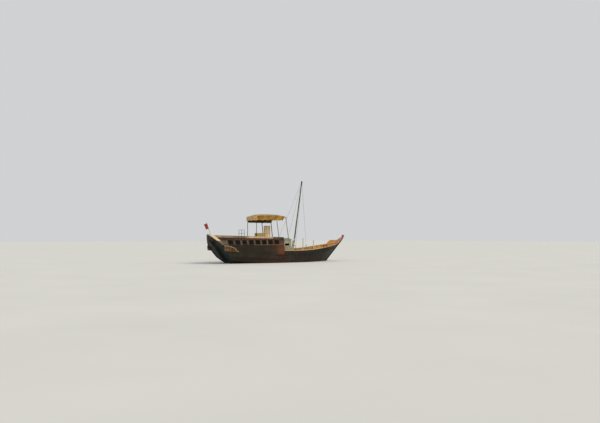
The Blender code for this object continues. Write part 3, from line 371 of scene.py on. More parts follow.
@dataclass(frozen=True)
class Rope(Finish):
    """Laid hemp; the strands' lay shows as slanting ridges."""

    colour: str
    pores: str
    lay_mm: float = 40.0

    def look(self, add: Adder, places: Node) -> dict[str, Source]:
        """Slanting strands, dark between them."""
        strands = add(
            "ShaderNodeTexWave", {"Vector": places.outputs["Object"], "Scale": 1000.0 / self.lay_mm / 3.14,
                                  "Distortion": 0.6, "Detail": 2.0}, bands_direction="DIAGONAL").outputs[1]
        bump = add("ShaderNodeBump", {"Height": strands, "Strength": 0.8, "Distance": 0.003})
        colour = tint(add, strands, (0.0, 1.0), linear(self.pores), self.colour)
        return {"Base Color": colour, "Normal": bump, "Roughness": 0.92}


@dataclass(frozen=True)
class Iron(Finish):
    """Wrought iron under old black paint, rusted where the paint has gone."""

    paint: str = "#2a2724"
    rust: str = "#6b3b20"

    def look(self, add: Adder, places: Node) -> dict[str, Source]:
        """Rust in patches, rougher than the paint."""
        patches = add(
            "ShaderNodeTexNoise",
            {"Vector": places.outputs["Object"], "Scale": 11.0, "Detail": 8.0, "Roughness": 0.7})
        levels = (0.47, 0.56)
        rough = add("ShaderNodeMapRange", {"Value": patches, "From Min": levels[0], "From Max": levels[1],
                                           "To Min": 0.45, "To Max": 0.85})
        bump = add("ShaderNodeBump", {"Height": patches, "Strength": 0.5, "Distance": 0.002})
        colour = tint(add, patches, levels, linear(self.paint), self.rust)
        return {"Base Color": colour, "Roughness": rough, "Normal": bump}


HULL = (
    (-10.6, "#37342a"), (-6.0, "#302b20"), (-2.6, "#32271b"), (-1.2, "#3d271a"), (0.2, "#29221a"),
    (3.0, "#25211a"), (7.0, "#23231f"), (9.5, "#262a2c"), (11.9, "#2a2824"),
)
FOUL = (
    Band(-3.0, -0.10, "#57392c", 0.85),        # worn red-brown paint under water
    Band(-0.10, 0.16, "#1a1c17", 0.70),        # weed and wet at the waterline
)
# Teak darkened by years of fish oil: dry grey-brown patches, wet runs, and the edge of old red paint
OILED = Timber(
    "oiled_teak_planking", HULL, "#15120d", contrast=0.5, bleach="#4b4436", bleach_share=0.38,
    streak_share=0.45, roughness=0.52, bands=FOUL + (Band(0.16, 0.42, "#4a2426", 0.40, 0.14),))
# The same oil on the drier sides of the poop, redder where hands and ropes rub at its fore end
UPPER = Timber(
    "oiled_teak_upperworks",
    ((-10.6, "#27231a"), (-6.0, "#272117"), (-2.9, "#292218"), (-1.9, "#3b281a"), (-1.2, "#693d20"),
     (0.2, "#5a3722")),
    "#14100b", contrast=0.5, bleach="#3e3424", bleach_share=0.35, streak_share=0.45, roughness=0.55)
# Bare posts between the windows, greyed by sun; their darker colour aft of x = -7 is painted shade
PIER = Timber(
    "greyed_window_posts", ((-10.6, "#2f2a21"), (-8.4, "#3d372d"), (-7.0, "#5b5044"), (-2.6, "#665446"),
                            (-2.2, "#5a3c28"), (-0.7, "#54351f")),
    "#241d15", Grain.UPRIGHT, bleach="#7d6e5e", bleach_share=0.4)
# Tarred frames, near black; their dark is partly painted shade, so that with the openings the windows read as
# one dark row
FRAME = Timber("tarred_window_frames_painted_shade", ((0.0, "#241b13"),), "#100c08", Grain.UPRIGHT, bleach="#3a2e22")
# Ledge worn to orange wood by arms along the middle, dark and oily aft
LEDGE = Timber(
    "worn_orange_ledge", ((-10.0, "#332b20"), (-5.5, "#3f3220"), (-4.9, "#76583a"), (-1.0, "#865d38")),
    "#2c2016", bleach="#86694a", bleach_share=0.35)
MOULDING = Timber("oiled_gallery_mouldings", ((0.0, "#7a5f3c"),), "#2c2016", bleach="#a88b60", bleach_share=0.5)
# Tar over timber: near black with a dull shine, greyer where it has dried
TARRED = Timber(
    "tarred_timber", ((0.0, "#20231f"),), "#0f100e", contrast=0.5, bleach="#3c3d36", bleach_share=0.4,
    roughness=0.5, bands=FOUL)
# The same tar on the timbers that stand upright at the stern, split and greyed along the grain
STERN_TIMBER = Timber(
    "tarred_stern_timbers", ((0.0, "#292822"),), "#100f0c", Grain.UPRIGHT, 30.0, 0.65, bleach="#5c5444",
    bleach_share=0.6, streak_share=0.5, roughness=0.55, bands=FOUL)
STEM = Timber(
    "tarred_stem", ((0.0, "#23251f"),), "#0f100e", Grain.UPRIGHT, contrast=0.5, bleach="#45423a",
    bleach_share=0.4, roughness=0.5, bands=FOUL + (Band(3.05, 4.6, "#8a5746", 0.85, 0.15),))
NAILS = Timber("rusted_nail_heads", ((0.0, "#2b1f16"),), "#140e0a", bleach="#4a3020", roughness=0.7)
DOOR = Timber(
    "oiled_teak_door", ((0.0, "#7a5232"),), "#3b2615", Grain.UPRIGHT, bleach="#9c7650", roughness=0.45,
    coat=0.15)
# Tarred boards across the stern; the blue-green cast on their lower part is painted shade and painted reflection
# of sky and water
TRANSOM_BOARDS = Timber(
    "tarred_transom_boards_painted_reflection", ((0.0, "#22261f"),), "#0e0f0d", Grain.ATHWART, bleach="#38382f", bleach_share=0.35,
    roughness=0.5, bands=FOUL + (Band(0.3, 1.8, "#1f2d31", 0.6, 0.5),))
CREAM_STOPS = (
    (-10.6, "#9a8766"), (-8.4, "#85755a"), (-6.1, "#7d6d52"), (-5.8, "#d2b28e"), (-2.4, "#d9b592"),
    (-2.2, "#331a10"), (-0.3, "#2e180f"),
)
# Old cream paint, chipped to brown wood, with a maroon length at the fore end
RAIL = Timber(
    "painted_poop_rail", CREAM_STOPS, "#5b452e", contrast=0.35, bleach="#c9b190", chips="#4d3422",
    chip_share=0.6, chip_mm=80.0, bleach_share=0.35, streak_share=0.4, roughness=0.5)
RAIL_CAP = Timber(
    "painted_rail_cap", ((-10.6, "#b7a27f"), (-5.9, "#a48d6b"), (-5.7, "#dcc19d"), (-2.3, "#dcc19d"),
                         (-2.1, "#5c432d"), (-0.3, "#523b27")),
    "#6d5438", contrast=0.3, chips="#4d3422", chip_share=0.4, roughness=0.5)
RAIL_FOOT = Timber(
    "brown_rail_foot", ((-10.6, "#2f2213"), (-8.0, "#362213"), (-4.0, "#452716"), (-2.3, "#382013"),
                        (-0.4, "#2d1c15")),
    "#1a110a", bleach="#6b5038")
# Bright varnish on teak: yellow in the sun, orange below, pink-brown towards the stem
CAP = Timber(
    "varnished_cap_rail", ((-0.7, "#d2b48c"), (4.0, "#d9b07c"), (6.3, "#dcb060"), (8.5, "#d39c50"),
                           (11.8, "#b97a4c")),
    "#7a4e26", contrast=0.45, bleach="#ecd8b0", bleach_share=0.5, roughness=0.38, coat=0.25)
INNER = Timber(
    "varnished_ceiling_boards", ((-0.7, "#bf8c48"), (5.0, "#c79a4e"), (9.0, "#bd8a3c"), (11.8, "#ad6c48")),
    "#8a5a28", grain_mm=9.0, contrast=0.45, bleach="#e6c88a", roughness=0.4, coat=0.2)
WASH = Timber(
    "varnished_washboards", ((9.0, "#c89142"), (10.2, "#c98f45"), (10.9, "#c47a54"), (11.9, "#b66a56")),
    "#7d4c26", grain_mm=9.0, contrast=0.45, bleach="#ecc68a", roughness=0.4, coat=0.25)
GALLERY = Timber(
    "varnished_gallery", ((-9.5, "#6b5130"), (-8.2, "#4f3a22")), "#1f140a", bleach="#a3825a", bleach_share=0.5,
    roughness=0.45, coat=0.15)
GALLERY_TOP = Timber(
    "bleached_gallery_top", ((-9.0, "#d3b68d"),), "#7d613f", bleach="#dcc8a4", bleach_share=0.6)
# The rim of the transom, its paint nearly gone in chips; its dull tan colour and the near black below 2.6 m are
# painted shade of the transom's face
STERN_EDGE = Timber(
    "chipped_stern_edge_painted_shade", ((0.0, "#6d5d48"),), "#3d3124", Grain.UPRIGHT, contrast=0.35, chips="#2d2318",
    chip_share=0.8, bands=(Band(-1.0, 2.6, "#241e17", 0.88, 0.3),))
# Cream boards at the stern's corners, cream above and darker brown below about 3.1 m
QUARTER = Timber(
    "cream_quarter_boards", ((0.0, "#e3cba8"),), "#85694a", Grain.UPRIGHT, contrast=0.3, chips="#4d3824",
    chip_share=0.5, bands=(Band(1.9, 3.08, "#4a3d2e", 0.88, 0.14),))
DECKING = Timber(
    "scrubbed_teak_deck", ((0.0, "#93784f"),), "#54401f", contrast=0.5, bleach="#ad9a76", bleach_share=0.6,
    streak_share=0.1, tone_share=0.3, roughness=0.75)
SEAM = Timber("caulked_deck_seams", ((0.0, "#241c14"),), "#120e0a", roughness=0.7)
# Thick grey-white boat paint: rust runs, chips at the edges, darker near the deck
HOUSE = Timber(
    "grey_white_house_paint", ((0.0, "#a6a68f"),), "#6d6d5f", Grain.UPRIGHT, contrast=0.35, bleach="#bfbda6",
    chips="#5c4c38", chip_share=0.42, streak_share=0.5, roughness=0.5,
    bands=(Band(0.9, 1.75, "#53564c", 0.5, 0.2),))
HOUSE_TRIM = Timber(
    "weathered_white_trim", ((0.0, "#c6c0a8"),), "#827a66", contrast=0.3, chips="#6d5a42", chip_share=0.5)
ROOF = Timber(
    "grey_canvassed_roof", ((0.0, "#8a8f82"),), "#5c5f56", Grain.ATHWART, contrast=0.25, bleach="#aeafa0",
    bleach_share=0.5, tone_share=0.1, roughness=0.75)
HATCH = Timber("oiled_hatch_boards", ((0.0, "#94683f"),), "#4d3119", bleach="#b8906a", tone_share=0.3)
COAMING = Timber("varnished_coaming", ((0.0, "#935a28"),), "#47280d", roughness=0.4, coat=0.2)
DARK = Timber("dark_window_panes", ((0.0, "#1c1612"),), "#0d0a08", Grain.UPRIGHT, bleach="#33291f")
# Near-black boards across the cabin and behind the deckhouse's port window: painted shade for the unlit rooms
# behind the windows
PARTITION = Timber("dark_cabin_boards_painted_shade", ((0.0, "#2a2018"),), "#120d09", Grain.UPRIGHT, bleach="#3f3226")
BAR = Timber("brown_window_bars", ((0.0, "#3a2e24"),), "#1d1610", Grain.UPRIGHT, bleach="#57493b")
# Oiled pole, darker at the head, its foot painted the same pale green as the post that holds it
SPAR = Timber(
    "oiled_mast_spar", ((0.0, "#6b5a45"),), "#35291d", Grain.UPRIGHT, 30.0, 0.55, bleach="#8f7f68",
    bleach_share=0.45, roughness=0.5,
    bands=(Band(8.6, 12.0, "#40362b", 0.7, 0.5), Band(0.8, 3.35, "#b3bba4", 0.92, 0.12)))
PALE_POST = Timber(
    "pale_green_post", ((0.0, "#c3cbb6"),), "#8a917e", Grain.UPRIGHT, contrast=0.3, chips="#6d5a42",
    chip_share=0.4)
OLIVE = Timber(
    "olive_paint", ((0.0, "#c2a64a"),), "#7d6826", Grain.UPRIGHT, contrast=0.4, bleach="#dcc682",
    chips="#6a4a26", chip_share=0.5)
POLES = Timber(
    "golden_poles", ((-4.3, "#5c4722"), (-2.0, "#75581f"), (0.9, "#9a7622")), "#3f2d10", contrast=0.4,
    bleach="#a88a45")
POST_DARK = Timber("dark_awning_post", ((0.0, "#382d1f"),), "#1a140d", Grain.UPRIGHT, bleach="#54452f")
POST_RED = Timber("red_brown_awning_post", ((0.0, "#6b3c25"),), "#331b12", Grain.UPRIGHT, bleach="#8f5c3e")
POST_GOLD = Timber("yellow_awning_post", ((0.0, "#8a731c"),), "#4d3f10", Grain.UPRIGHT, bleach="#b8993a")
SCREEN = Timber(
    "cream_screen", ((0.0, "#fbe3ba"),), "#b0906a", Grain.UPRIGHT, contrast=0.35, bleach="#f7e6c8")
SCREEN_FRAME = Timber("pinkish_screen_frame", ((0.0, "#c79a78"),), "#7d5a40", Grain.UPRIGHT)
# Cotton canvas dyed ochre, bleached at its aft end, with an old grey-green cover over the top
CANVAS = Cloth(
    "ochre_awning_canvas", "#a5772a", "#5f4820", bleach="#cda055", patch="#6b6548", patch_from=-1.9,
    patch_to=0.42, patch_above=6.50, faded_to=-4.0)
CURTAIN = Cloth("olive_side_curtain", "#4d472c", "#2f2b1b", bleach="#6b6340")
BUNTING = Cloth("faded_red_bunting", "#a83a34", "#7d2a26", 10.0, "#d08a78")
HEMP = Rope("laid_hemp_rope", "#7d6a4c", "#3d3122")
TARRED_ROPE = Rope("tarred_hemp_rope", "#3b3226", "#191510")
IRON = Iron("painted_wrought_iron")


# The hull's form


@dataclass(frozen=True)
class HullForm:
    """The hull's skin, by height and by share u of the way from the transom to the stem."""

    transom_x: float = -7.58
    transom_slope: float = 0.77
    stem_line: tuple[tuple[float, float], ...] = (
        (-1.85, 5.90), (-1.50, 6.43), (-1.10, 7.02), (-0.60, 7.60), (0.00, 8.18), (0.86, 9.01),
        (1.60, 9.73), (2.00, 10.12), (2.40, 10.51), (2.84, 10.94), (3.40, 11.42), (4.00, 11.66),
    )
    shares: tuple[float, ...] = (0.0, 0.03, 0.07, 0.15, 0.30, 0.50, 0.70, 0.85, 0.95, 1.0)
    half_breadths: tuple[tuple[float, tuple[float, ...]], ...] = (
        (-1.50, (0.12, 0.12, 0.12, 0.12, 0.12, 0.12, 0.12, 0.12, 0.12, 0.12)),
        (-1.10, (0.12, 0.14, 0.20, 0.50, 1.05, 1.30, 0.95, 0.40, 0.18, 0.12)),
        (-0.60, (0.12, 0.20, 0.40, 1.00, 1.80, 2.10, 1.70, 0.90, 0.38, 0.12)),
        (0.00, (0.70, 0.95, 1.25, 1.80, 2.40, 2.62, 2.30, 1.45, 0.60, 0.12)),
        (0.45, (1.55, 1.72, 1.90, 2.18, 2.56, 2.74, 2.48, 1.70, 0.76, 0.12)),
        (0.95, (2.22, 2.28, 2.36, 2.47, 2.67, 2.81, 2.60, 1.90, 0.90, 0.12)),
        (1.70, (2.36, 2.41, 2.46, 2.58, 2.76, 2.85, 2.70, 2.08, 1.04, 0.12)),
        (2.40, (2.22, 2.30, 2.39, 2.54, 2.71, 2.80, 2.72, 2.18, 1.14, 0.12)),
        (3.10, (1.42, 1.66, 1.93, 2.28, 2.60, 2.72, 2.70, 2.24, 1.20, 0.12)),
        (4.00, (0.02, 0.70, 1.28, 2.00, 2.46, 2.60, 2.62, 2.26, 1.22, 0.12)),
    )
    sheer_low: tuple[float, float] = (1.0, 1.62)
    sheer_rises: tuple[float, float] = (0.0055, 0.0118)
    wale_drop: float = 0.52
    rail_fore: tuple[float, float] = (-0.60, 3.48)
    rail_rise: float = 0.028

    @staticmethod
    def smooth(knots: Sequence[float], values: Sequence[float], x: float) -> float:
        """Monotone cubic through the knots."""
        if x <= knots[0]:
            return values[0]
        if x >= knots[-1]:
            return values[-1]
        last = len(knots) - 1
        i = bisect.bisect_right(knots, x) - 1

        def slope(k: int) -> float:
            """Slope between two knots."""
            return (values[k + 1] - values[k]) / (knots[k + 1] - knots[k])

        def tangent(k: int) -> float:
            """Slope of the curve at a knot."""
            if k == 0:
                return slope(0)
            if k == last:
                return slope(last - 1)
            before, after = slope(k - 1), slope(k)
            return 0.0 if before * after <= 0 else 2 * before * after / (before + after)

        step = knots[i + 1] - knots[i]
        t = (x - knots[i]) / step
        low = (1 + 2 * t) * (1 - t) ** 2 * values[i] + t * (1 - t) ** 2 * step * tangent(i)
        high = t * t * (3 - 2 * t) * values[i + 1] + t * t * (t - 1) * step * tangent(i + 1)
        return low + high

    def aft_x(self, z: float) -> float:
        """Place of the transom's plane at a height."""
        return self.transom_x - self.transom_slope * z

    def fore_x(self, z: float) -> float:
        """Place of the planking's fore end at a height."""
        return self.smooth([row[0] for row in self.stem_line], [row[1] for row in self.stem_line], z)

    def half_breadth(self, u: float, z: float) -> float:
        """Half breadth of the skin."""
        heights = [row[0] for row in self.half_breadths]
        i = min(max(bisect.bisect_right(heights, z) - 1, 0), len(heights) - 2)
        near = self.half_breadths[max(i - 1, 0):i + 3]
        return self.smooth([row[0] for row in near], [self.smooth(self.shares, row[1], u) for row in near], z)

    def place(self, u: float, z: float) -> tuple[float, float]:
        """Point of the port skin in plan."""
        aft = self.aft_x(z)
        return aft + u * (self.fore_x(z) - aft), self.half_breadth(u, z)

    def skin(self, u: float, z: float, offset: float = 0.0) -> tuple[float, float]:
        """Point of the port skin in plan, moved outward; it runs on straight behind the transom."""
        step = 0.004
        middle = min(max(u, step), 1 - step)
        x0, y0 = self.place(middle - step, z)
        x1, y1 = self.place(middle + step, z)
        length = math.hypot(x1 - x0, y1 - y0)
        x, y = self.place(u, z)
        x += offset * (y0 - y1) / length
        y += offset * (x1 - x0) / length
        return min(x, self.fore_x(z) - 0.006), y

    def share_at(self, x: float, z: float) -> float:
        """Share u of the length at a place along the ship."""
        return (x - self.aft_x(z)) / (self.fore_x(z) - self.aft_x(z))

    def at(self, x: float, z: float, offset: float, side: int) -> Place:
        """Point of the skin at a place along the ship and a height, on either side."""
        px, py = self.skin(min(self.share_at(x, z), 1.0), z, offset)
        return px, side * py, z

    def sheer_z(self, u: float) -> float:
        """Top of the waist planking."""
        low_x, low_z = self.sheer_low
        x = self.place(u, low_z)[0]
        rise = self.sheer_rises[1] if x > low_x else self.sheer_rises[0]
        z = low_z + rise * (x - low_x) ** 2
        x = self.place(u, z)[0]
        return low_z + rise * (x - low_x) ** 2

    def wale_z(self, u: float) -> float:
        """Middle of the wale."""
        low = self.sheer_low[1]
        return low - self.wale_drop + 0.85 * (self.sheer_z(u) - low)

    def wale_low(self, u: float) -> float:
        """Foot of the wale."""
        return self.wale_z(u) - WALE_HALF

    def wale_high(self, u: float) -> float:
        """Head of the wale."""
        return self.wale_z(u) + WALE_HALF

    def rail_z(self, u: float) -> float:
        """Top of the poop rail."""
        x, z = self.rail_fore
        return z + self.rail_rise * (x - self.place(u, z)[0])

    def stern(self, w: float, d: float, y: float = 0.0) -> Place:
        """Point w up the raked transom from the waterline and d behind it."""
        rake = math.atan(self.transom_slope)
        return (
            self.transom_x - w * math.sin(rake) - d * math.cos(rake), y,
            w * math.cos(rake) - d * math.sin(rake),
        )

    def stern_w(self, z: float, d: float = 0.0) -> float:
        """Distance up the raked transom of a height, for a point d behind it."""
        rake = math.atan(self.transom_slope)
        return (z + d * math.sin(rake)) / math.cos(rake)


FORM = HullForm()


def level(z: float) -> Line:
    """The line along the skin at one height."""
    return lambda u: z


def between(low: Line, high: Line, share: float) -> Line:
    """The line at a share of the height between two others."""
    return lambda u: low(u) + share * (high(u) - low(u))


def section(low: Line, high: Line, points: Sequence[tuple[float, float, float]]) -> Section:
    """Section of a strip between two lines along the skin.

    Args:
        low: The lower line.
        high: The upper line.
        points: For each corner its offset from the skin, its share of the height, and what that is moved up by.

    Returns:
        The section.
    """
    def at(u: float) -> Sequence[Pair]:
        """Its corners at a share of the length."""
        foot, head = low(u), high(u)
        return [(offset, foot + share * (head - foot) + rise) for offset, share, rise in points]
    return at


# Making meshes


def place_mesh(
    name: str, mesh: bpy.types.Mesh, finish: Optional[Finish] = None, angle: float = 35.0
) -> bpy.types.Object:
    """Put a mesh in the scene.

    Args:
        name: The object's name.
        mesh: The mesh.
        finish: Its finish, or None where it has one.
        angle: Edges sharper than this in degrees stay sharp; the rest is smooth.

    Returns:
        The new object, at the origin.
    """
    if finish:
        mesh.materials.clear()
        mesh.materials.append(finish.material())
    mesh.shade_smooth()
    mesh.set_sharp_from_angle(angle=math.radians(angle))
    made = bpy.data.objects.new(name, mesh)
    bpy.context.scene.collection.objects.link(made)
    return made


def evaluated(carrier: bpy.types.Object) -> bpy.types.Mesh:
    """Turn an object with modifiers into a plain mesh, and delete it."""
    graph = bpy.context.evaluated_depsgraph_get()
    mesh = bpy.data.meshes.new_from_object(carrier.evaluated_get(graph))
    carrier.modifiers.clear()
    bpy.data.objects.remove(carrier)
    return mesh


def keep(
    piece: bpy.types.Object, body: str, slot: str = "", stands_for: Sequence[str] = ()
) -> bpy.types.Object:
    """Hang a piece on its body and report it.

    Args:
        piece: The piece.
        body: The body it rides on.
        slot: Not used.
        stands_for: Frame nodes that it replaces.

    Returns:
        The piece.
    """
    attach(piece, body)
    if stands_for:
        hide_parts(*stands_for)
    LOG.info("%s: %d faces on %s", piece.name, len(piece.data.polygons), body)
    return piece


class Joiner:
    """Gathers closed shapes into one mesh, each timber with a tone of 0 to 1, or a random one for None."""

    def __init__(self, seed: int = 1) -> None:
        """Start an empty mesh, with a seed for its tones."""
        self.bm = bmesh.new()
        self.tone = self.bm.faces.layers.float.new("tone")
        self.random = random.Random(seed)

    def loft(self, loops: Sequence[Loop], tone: Optional[float] = None, ring: bool = False) -> None:
        """Add a closed solid through loops of equal length.

        Args:
            loops: The sections in order.
            tone: The timber's tone.
            ring: Whether the last section joins the first, with no end faces.
        """
        value = self.random.random() if tone is None else tone
        rings = [[self.bm.verts.new(point) for point in loop] for loop in loops]
        count = len(rings[0])
        made = []
        pairs = list(zip(rings, rings[1:]))
        if ring:
            pairs.append((rings[-1], rings[0]))
        else:
            made = [self.bm.faces.new(rings[0][::-1]), self.bm.faces.new(rings[-1])]
        for a, b in pairs:
            for k in range(count):
                n = (k + 1) % count
                made.append(self.bm.faces.new((a[k], a[n], b[n], b[k])))
        for face in made:
            face[self.tone] = value

    def bar(
        self, start: Place, end: Place, width: float, depth: float, across: Place = Y,
        chamfer: float = 0.004, tone: Optional[float] = None,
    ) -> None:
        """Add a straight timber with chamfered edges and ends.

        Args:
            start: Middle of one end.
            end: Middle of the other end.
            width: Size along across.
            depth: Size square to that.
            across: Direction of the width.
            chamfer: Size of the chamfer.
            tone: The timber's tone.
        """
        start, end = Vector(start), Vector(end)
        along = (end - start).normalized()
        side = (Vector(across) - along * Vector(across).dot(along)).normalized()
        up = along.cross(side)
        loops = []
        for centre, cut in (
            (start, chamfer), (start + along * chamfer, 0.0), (end - along * chamfer, 0.0), (end, chamfer),
        ):
            a, b, c = width / 2 - cut, depth / 2 - cut, chamfer
            corners = (
                (a, -b + c), (a, b - c), (a - c, b), (c - a, b), (-a, b - c), (-a, c - b), (c - a, -b),
                (a - c, -b))
            loops.append([centre + side * p + up * q for p, q in corners])
        self.loft(loops, tone)

    def block(self, low: Place, high: Place, chamfer: float = 0.004, tone: Optional[float] = None) -> None:
        """Add an upright timber block between two corners, chamfered."""
        x, y = (low[0] + high[0]) / 2, (low[1] + high[1]) / 2
        self.bar((x, y, low[2]), (x, y, high[2]), high[0] - low[0], high[1] - low[1], X, chamfer, tone)

    def tube(
        self, points: Sequence[Place], radii: Sequence[float], sides: int = 16, ring: bool = False,
        tone: Optional[float] = None,
    ) -> None:
        """Add a round bar along points.

        Args:
            points: Middles of its sections.
            radii: Radius at each, or one for all.
            sides: Faces round it.
            ring: Whether it closes on itself.
            tone: Its tone.
        """
        centres = [Vector(point) for point in points]
        count = len(centres)
        loops = []
        side = None
        for i, centre in enumerate(centres):
            before = centres[i - 1] if i or ring else centre
            after = centres[(i + 1) % count] if i < count - 1 or ring else centre
            along = (after - before).normalized()
            if side is None:
                side = along.orthogonal().normalized()
            side = (side - along * side.dot(along)).normalized()
            other = along.cross(side)
            radius = radii[i] if len(radii) > 1 else radii[0]
            turns = [math.tau * k / sides for k in range(sides)]
            loops.append([centre + radius * (math.cos(a) * side + math.sin(a) * other) for a in turns])
        self.loft(loops, tone, ring)

    def hoop(
        self, centre: Place, first: Place, second: Place, radius: float, count: int, sides: int = 6
    ) -> None:
        """Add a round bar bent to an ellipse.

        Args:
            centre: Middle of the ellipse.
            first: One half axis.
            second: The other.
            radius: Radius of the bar.
            count: Sections round the ellipse.
            sides: Faces round the bar.
        """
        turns = [math.tau * k / count for k in range(count)]
        points = [Vector(centre) + Vector(first) * math.cos(a) + Vector(second) * math.sin(a) for a in turns]
        self.tube(points, [radius], sides, ring=True)

    def along(self, side: int, section: Section, first: float, last: float, count: int) -> None:
        """Add a strip that follows the hull's skin.

        Args:
            side: -1 to starboard, 1 to port.
            section: Its section.
            first: Share of the length at its aft end.
            last: Share at its fore end.
            count: Steps along it.
        """
        loops = []
        for u in steps(first, last, count):
            plan = [(FORM.skin(u, z, offset), z) for offset, z in section(u)]
            loops.append([(x, side * y, z) for (x, y), z in plan])
        self.loft(loops)

    def boards(
        self, side: int, section: Section, first: float, last: float, length: float, gap: float = 0.004
    ) -> None:
        """Add a strip along the skin in boards of uneven length.

        Args:
            side: -1 to starboard, 1 to port.
            section: Its section.
            first: Share of the length at its aft end.
            last: Share at its fore end.
            length: Usual length of a board in metres.
            gap: Open joint between two boards.
        """
        start = first
        while start < last - 1e-6:
            end = start + length * self.random.uniform(0.65, 1.25) / SKIN_LENGTH
            end = last if last - end < 0.4 * length / SKIN_LENGTH else end
            count = max(3, round((end - start) * SKIN_LENGTH / 0.42))
            self.along(side, section, start, end - (gap / SKIN_LENGTH if end < last else 0.0), count)
            start = end

    def slab(self, side: int, span: Pair, rise: Pair, depth: Pair, counts: tuple[int, int] = (3, 2)) -> None:
        """Add a board on the skin between two places and two heights.

        Args:
            side: -1 to starboard, 1 to port.
            span: Its ends along the ship.
            rise: Its foot and head.
            depth: Its inner and outer face, out from the skin.
            counts: Steps along and up.
        """
        chamfer = 0.004
        heights = steps(*rise, counts[1])
        foot, *middle, head = heights
        inner, outer = depth
        section = [
            (inner, foot), (outer - chamfer, foot), (outer, foot + chamfer), *((outer, z) for z in middle),
            (outer, head - chamfer), (outer - chamfer, head), (inner, head),
            *((inner, z) for z in reversed(middle))]
        self.loft([[FORM.at(x, z, offset, side) for offset, z in section] for x in steps(*span, counts[0])])

    def keep(
        self, name: str, finish: Finish, slot: str = "", *stands_for: str, body: str = "hull"
    ) -> bpy.types.Object:
        """Close the mesh and hang it on a body.

        Args:
            name: The piece's name.
            finish: Its finish.
            slot: Not used; passed on to keep, which ignores it.
            *stands_for: Frame nodes that it replaces.
            body: The body it rides on.

        Returns:
            The piece.
        """
        bmesh.ops.recalc_face_normals(self.bm, faces=self.bm.faces)
        mesh = bpy.data.meshes.new(name)
        self.bm.to_mesh(mesh)
        self.bm.free()
        return keep(place_mesh(name, mesh, finish), body, slot, stands_for)


def dress(finish: Finish, *nodes: str) -> None:
    """Give frame nodes that stay their finish."""
    for node in nodes:
        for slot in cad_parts[node].material_slots:
            slot.material = finish.material()
        LOG.info("%s: dressed in %s", node, finish.name)


def soften(node: str, finish: Finish, slot: str, body: str = "hull", edge: float = 0.008) -> None:
    """Replace a node by a copy with its edges eased.

    Args:
        node: The frame node.
        finish: The copy's finish.
        slot: Not used; passed on to keep, which ignores it.
        body: The body it rides on.
        edge: Width of the eased edge.
    """
    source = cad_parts[node]
    bm = bmesh.new()
    bm.from_mesh(source.data)
    bm.transform(source.matrix_world)
    bmesh.ops.remove_doubles(bm, verts=bm.verts, dist=0.0001)
    bmesh.ops.dissolve_limit(bm, angle_limit=math.radians(0.6), verts=bm.verts, edges=bm.edges)
    sharp = [e for e in bm.edges if len(e.link_faces) == 2 and e.calc_face_angle() > math.radians(28)]
    bmesh.ops.bevel(
        bm, geom=sharp, offset=edge, offset_type="OFFSET", segments=2, profile=0.6, affect="EDGES",
        clamp_overlap=True)
    layer = bm.faces.layers.float.new("tone")
    for face in bm.faces:
        face[layer] = 0.5
    mesh = bpy.data.meshes.new(f"{node}_timber")
    bm.to_mesh(mesh)
    bm.free()
    keep(place_mesh(f"{node}_timber", mesh, finish, 30.0), body, slot, (node,))


class Weaver:
    """Gathers the points of a cloth, each with its place on the flat cloth, and joins them into one sheet."""

    def __init__(self) -> None:
        """Start an empty sheet."""
        self.bm = bmesh.new()
        self.flat: dict[Knot, Pair] = {}

    def knot(self, place: Place, flat: Pair) -> Knot:
        """Add a point and its place on the flat cloth in metres."""
        vert = self.bm.verts.new(place)
        self.flat[vert] = flat
        return vert

    def join(self, rows: Sequence[Sequence[Knot]], turned: bool = False) -> None:
        """Fill between rows of points, with the faces turned over if asked."""
        for a, b in zip(rows, rows[1:]):
            for n in range(len(a) - 1):
                ring = (a[n], b[n], b[n + 1], a[n + 1]) if turned else (a[n], a[n + 1], b[n + 1], b[n])
                self.bm.faces.new(ring)

    def finish(
        self, name: str, finish: Cloth, thick: float, offset: float = -1.0, angle: float = 55.0,
        even: bool = True,
    ) -> bpy.types.Object:
        """Close the sheet and give it its thickness.

        Args:
            name: The piece's name.
            finish: Its finish.
            thick: Its thickness in metres.
            offset: Side that the thickness goes to, -1 to 1.
            angle: Edges sharper than this in degrees stay sharp.
            even: Whether all faces are turned the same way first.

        Returns:
            The sheet as a plain mesh.
        """
        uv = self.bm.loops.layers.uv.new("flat")
        for face in self.bm.faces:
            for loop in face.loops:
                loop[uv].uv = self.flat[loop.vert]
        if even:
            bmesh.ops.recalc_face_normals(self.bm, faces=self.bm.faces)
        mesh = bpy.data.meshes.new(f"{name}_thin")
        self.bm.to_mesh(mesh)
        self.bm.free()
        thin = bpy.data.objects.new(f"{name}_thin", mesh)
        bpy.context.scene.collection.objects.link(thin)
        change = thin.modifiers.new("thickness", "SOLIDIFY")
        change.thickness, change.offset = thick, offset
        return place_mesh(name, evaluated(thin), finish, angle)


class Unit(Enum):
    """The small shape that is repeated."""

    STUD = "stud"
    SLAT = "slat"
    TURNED = "turned"


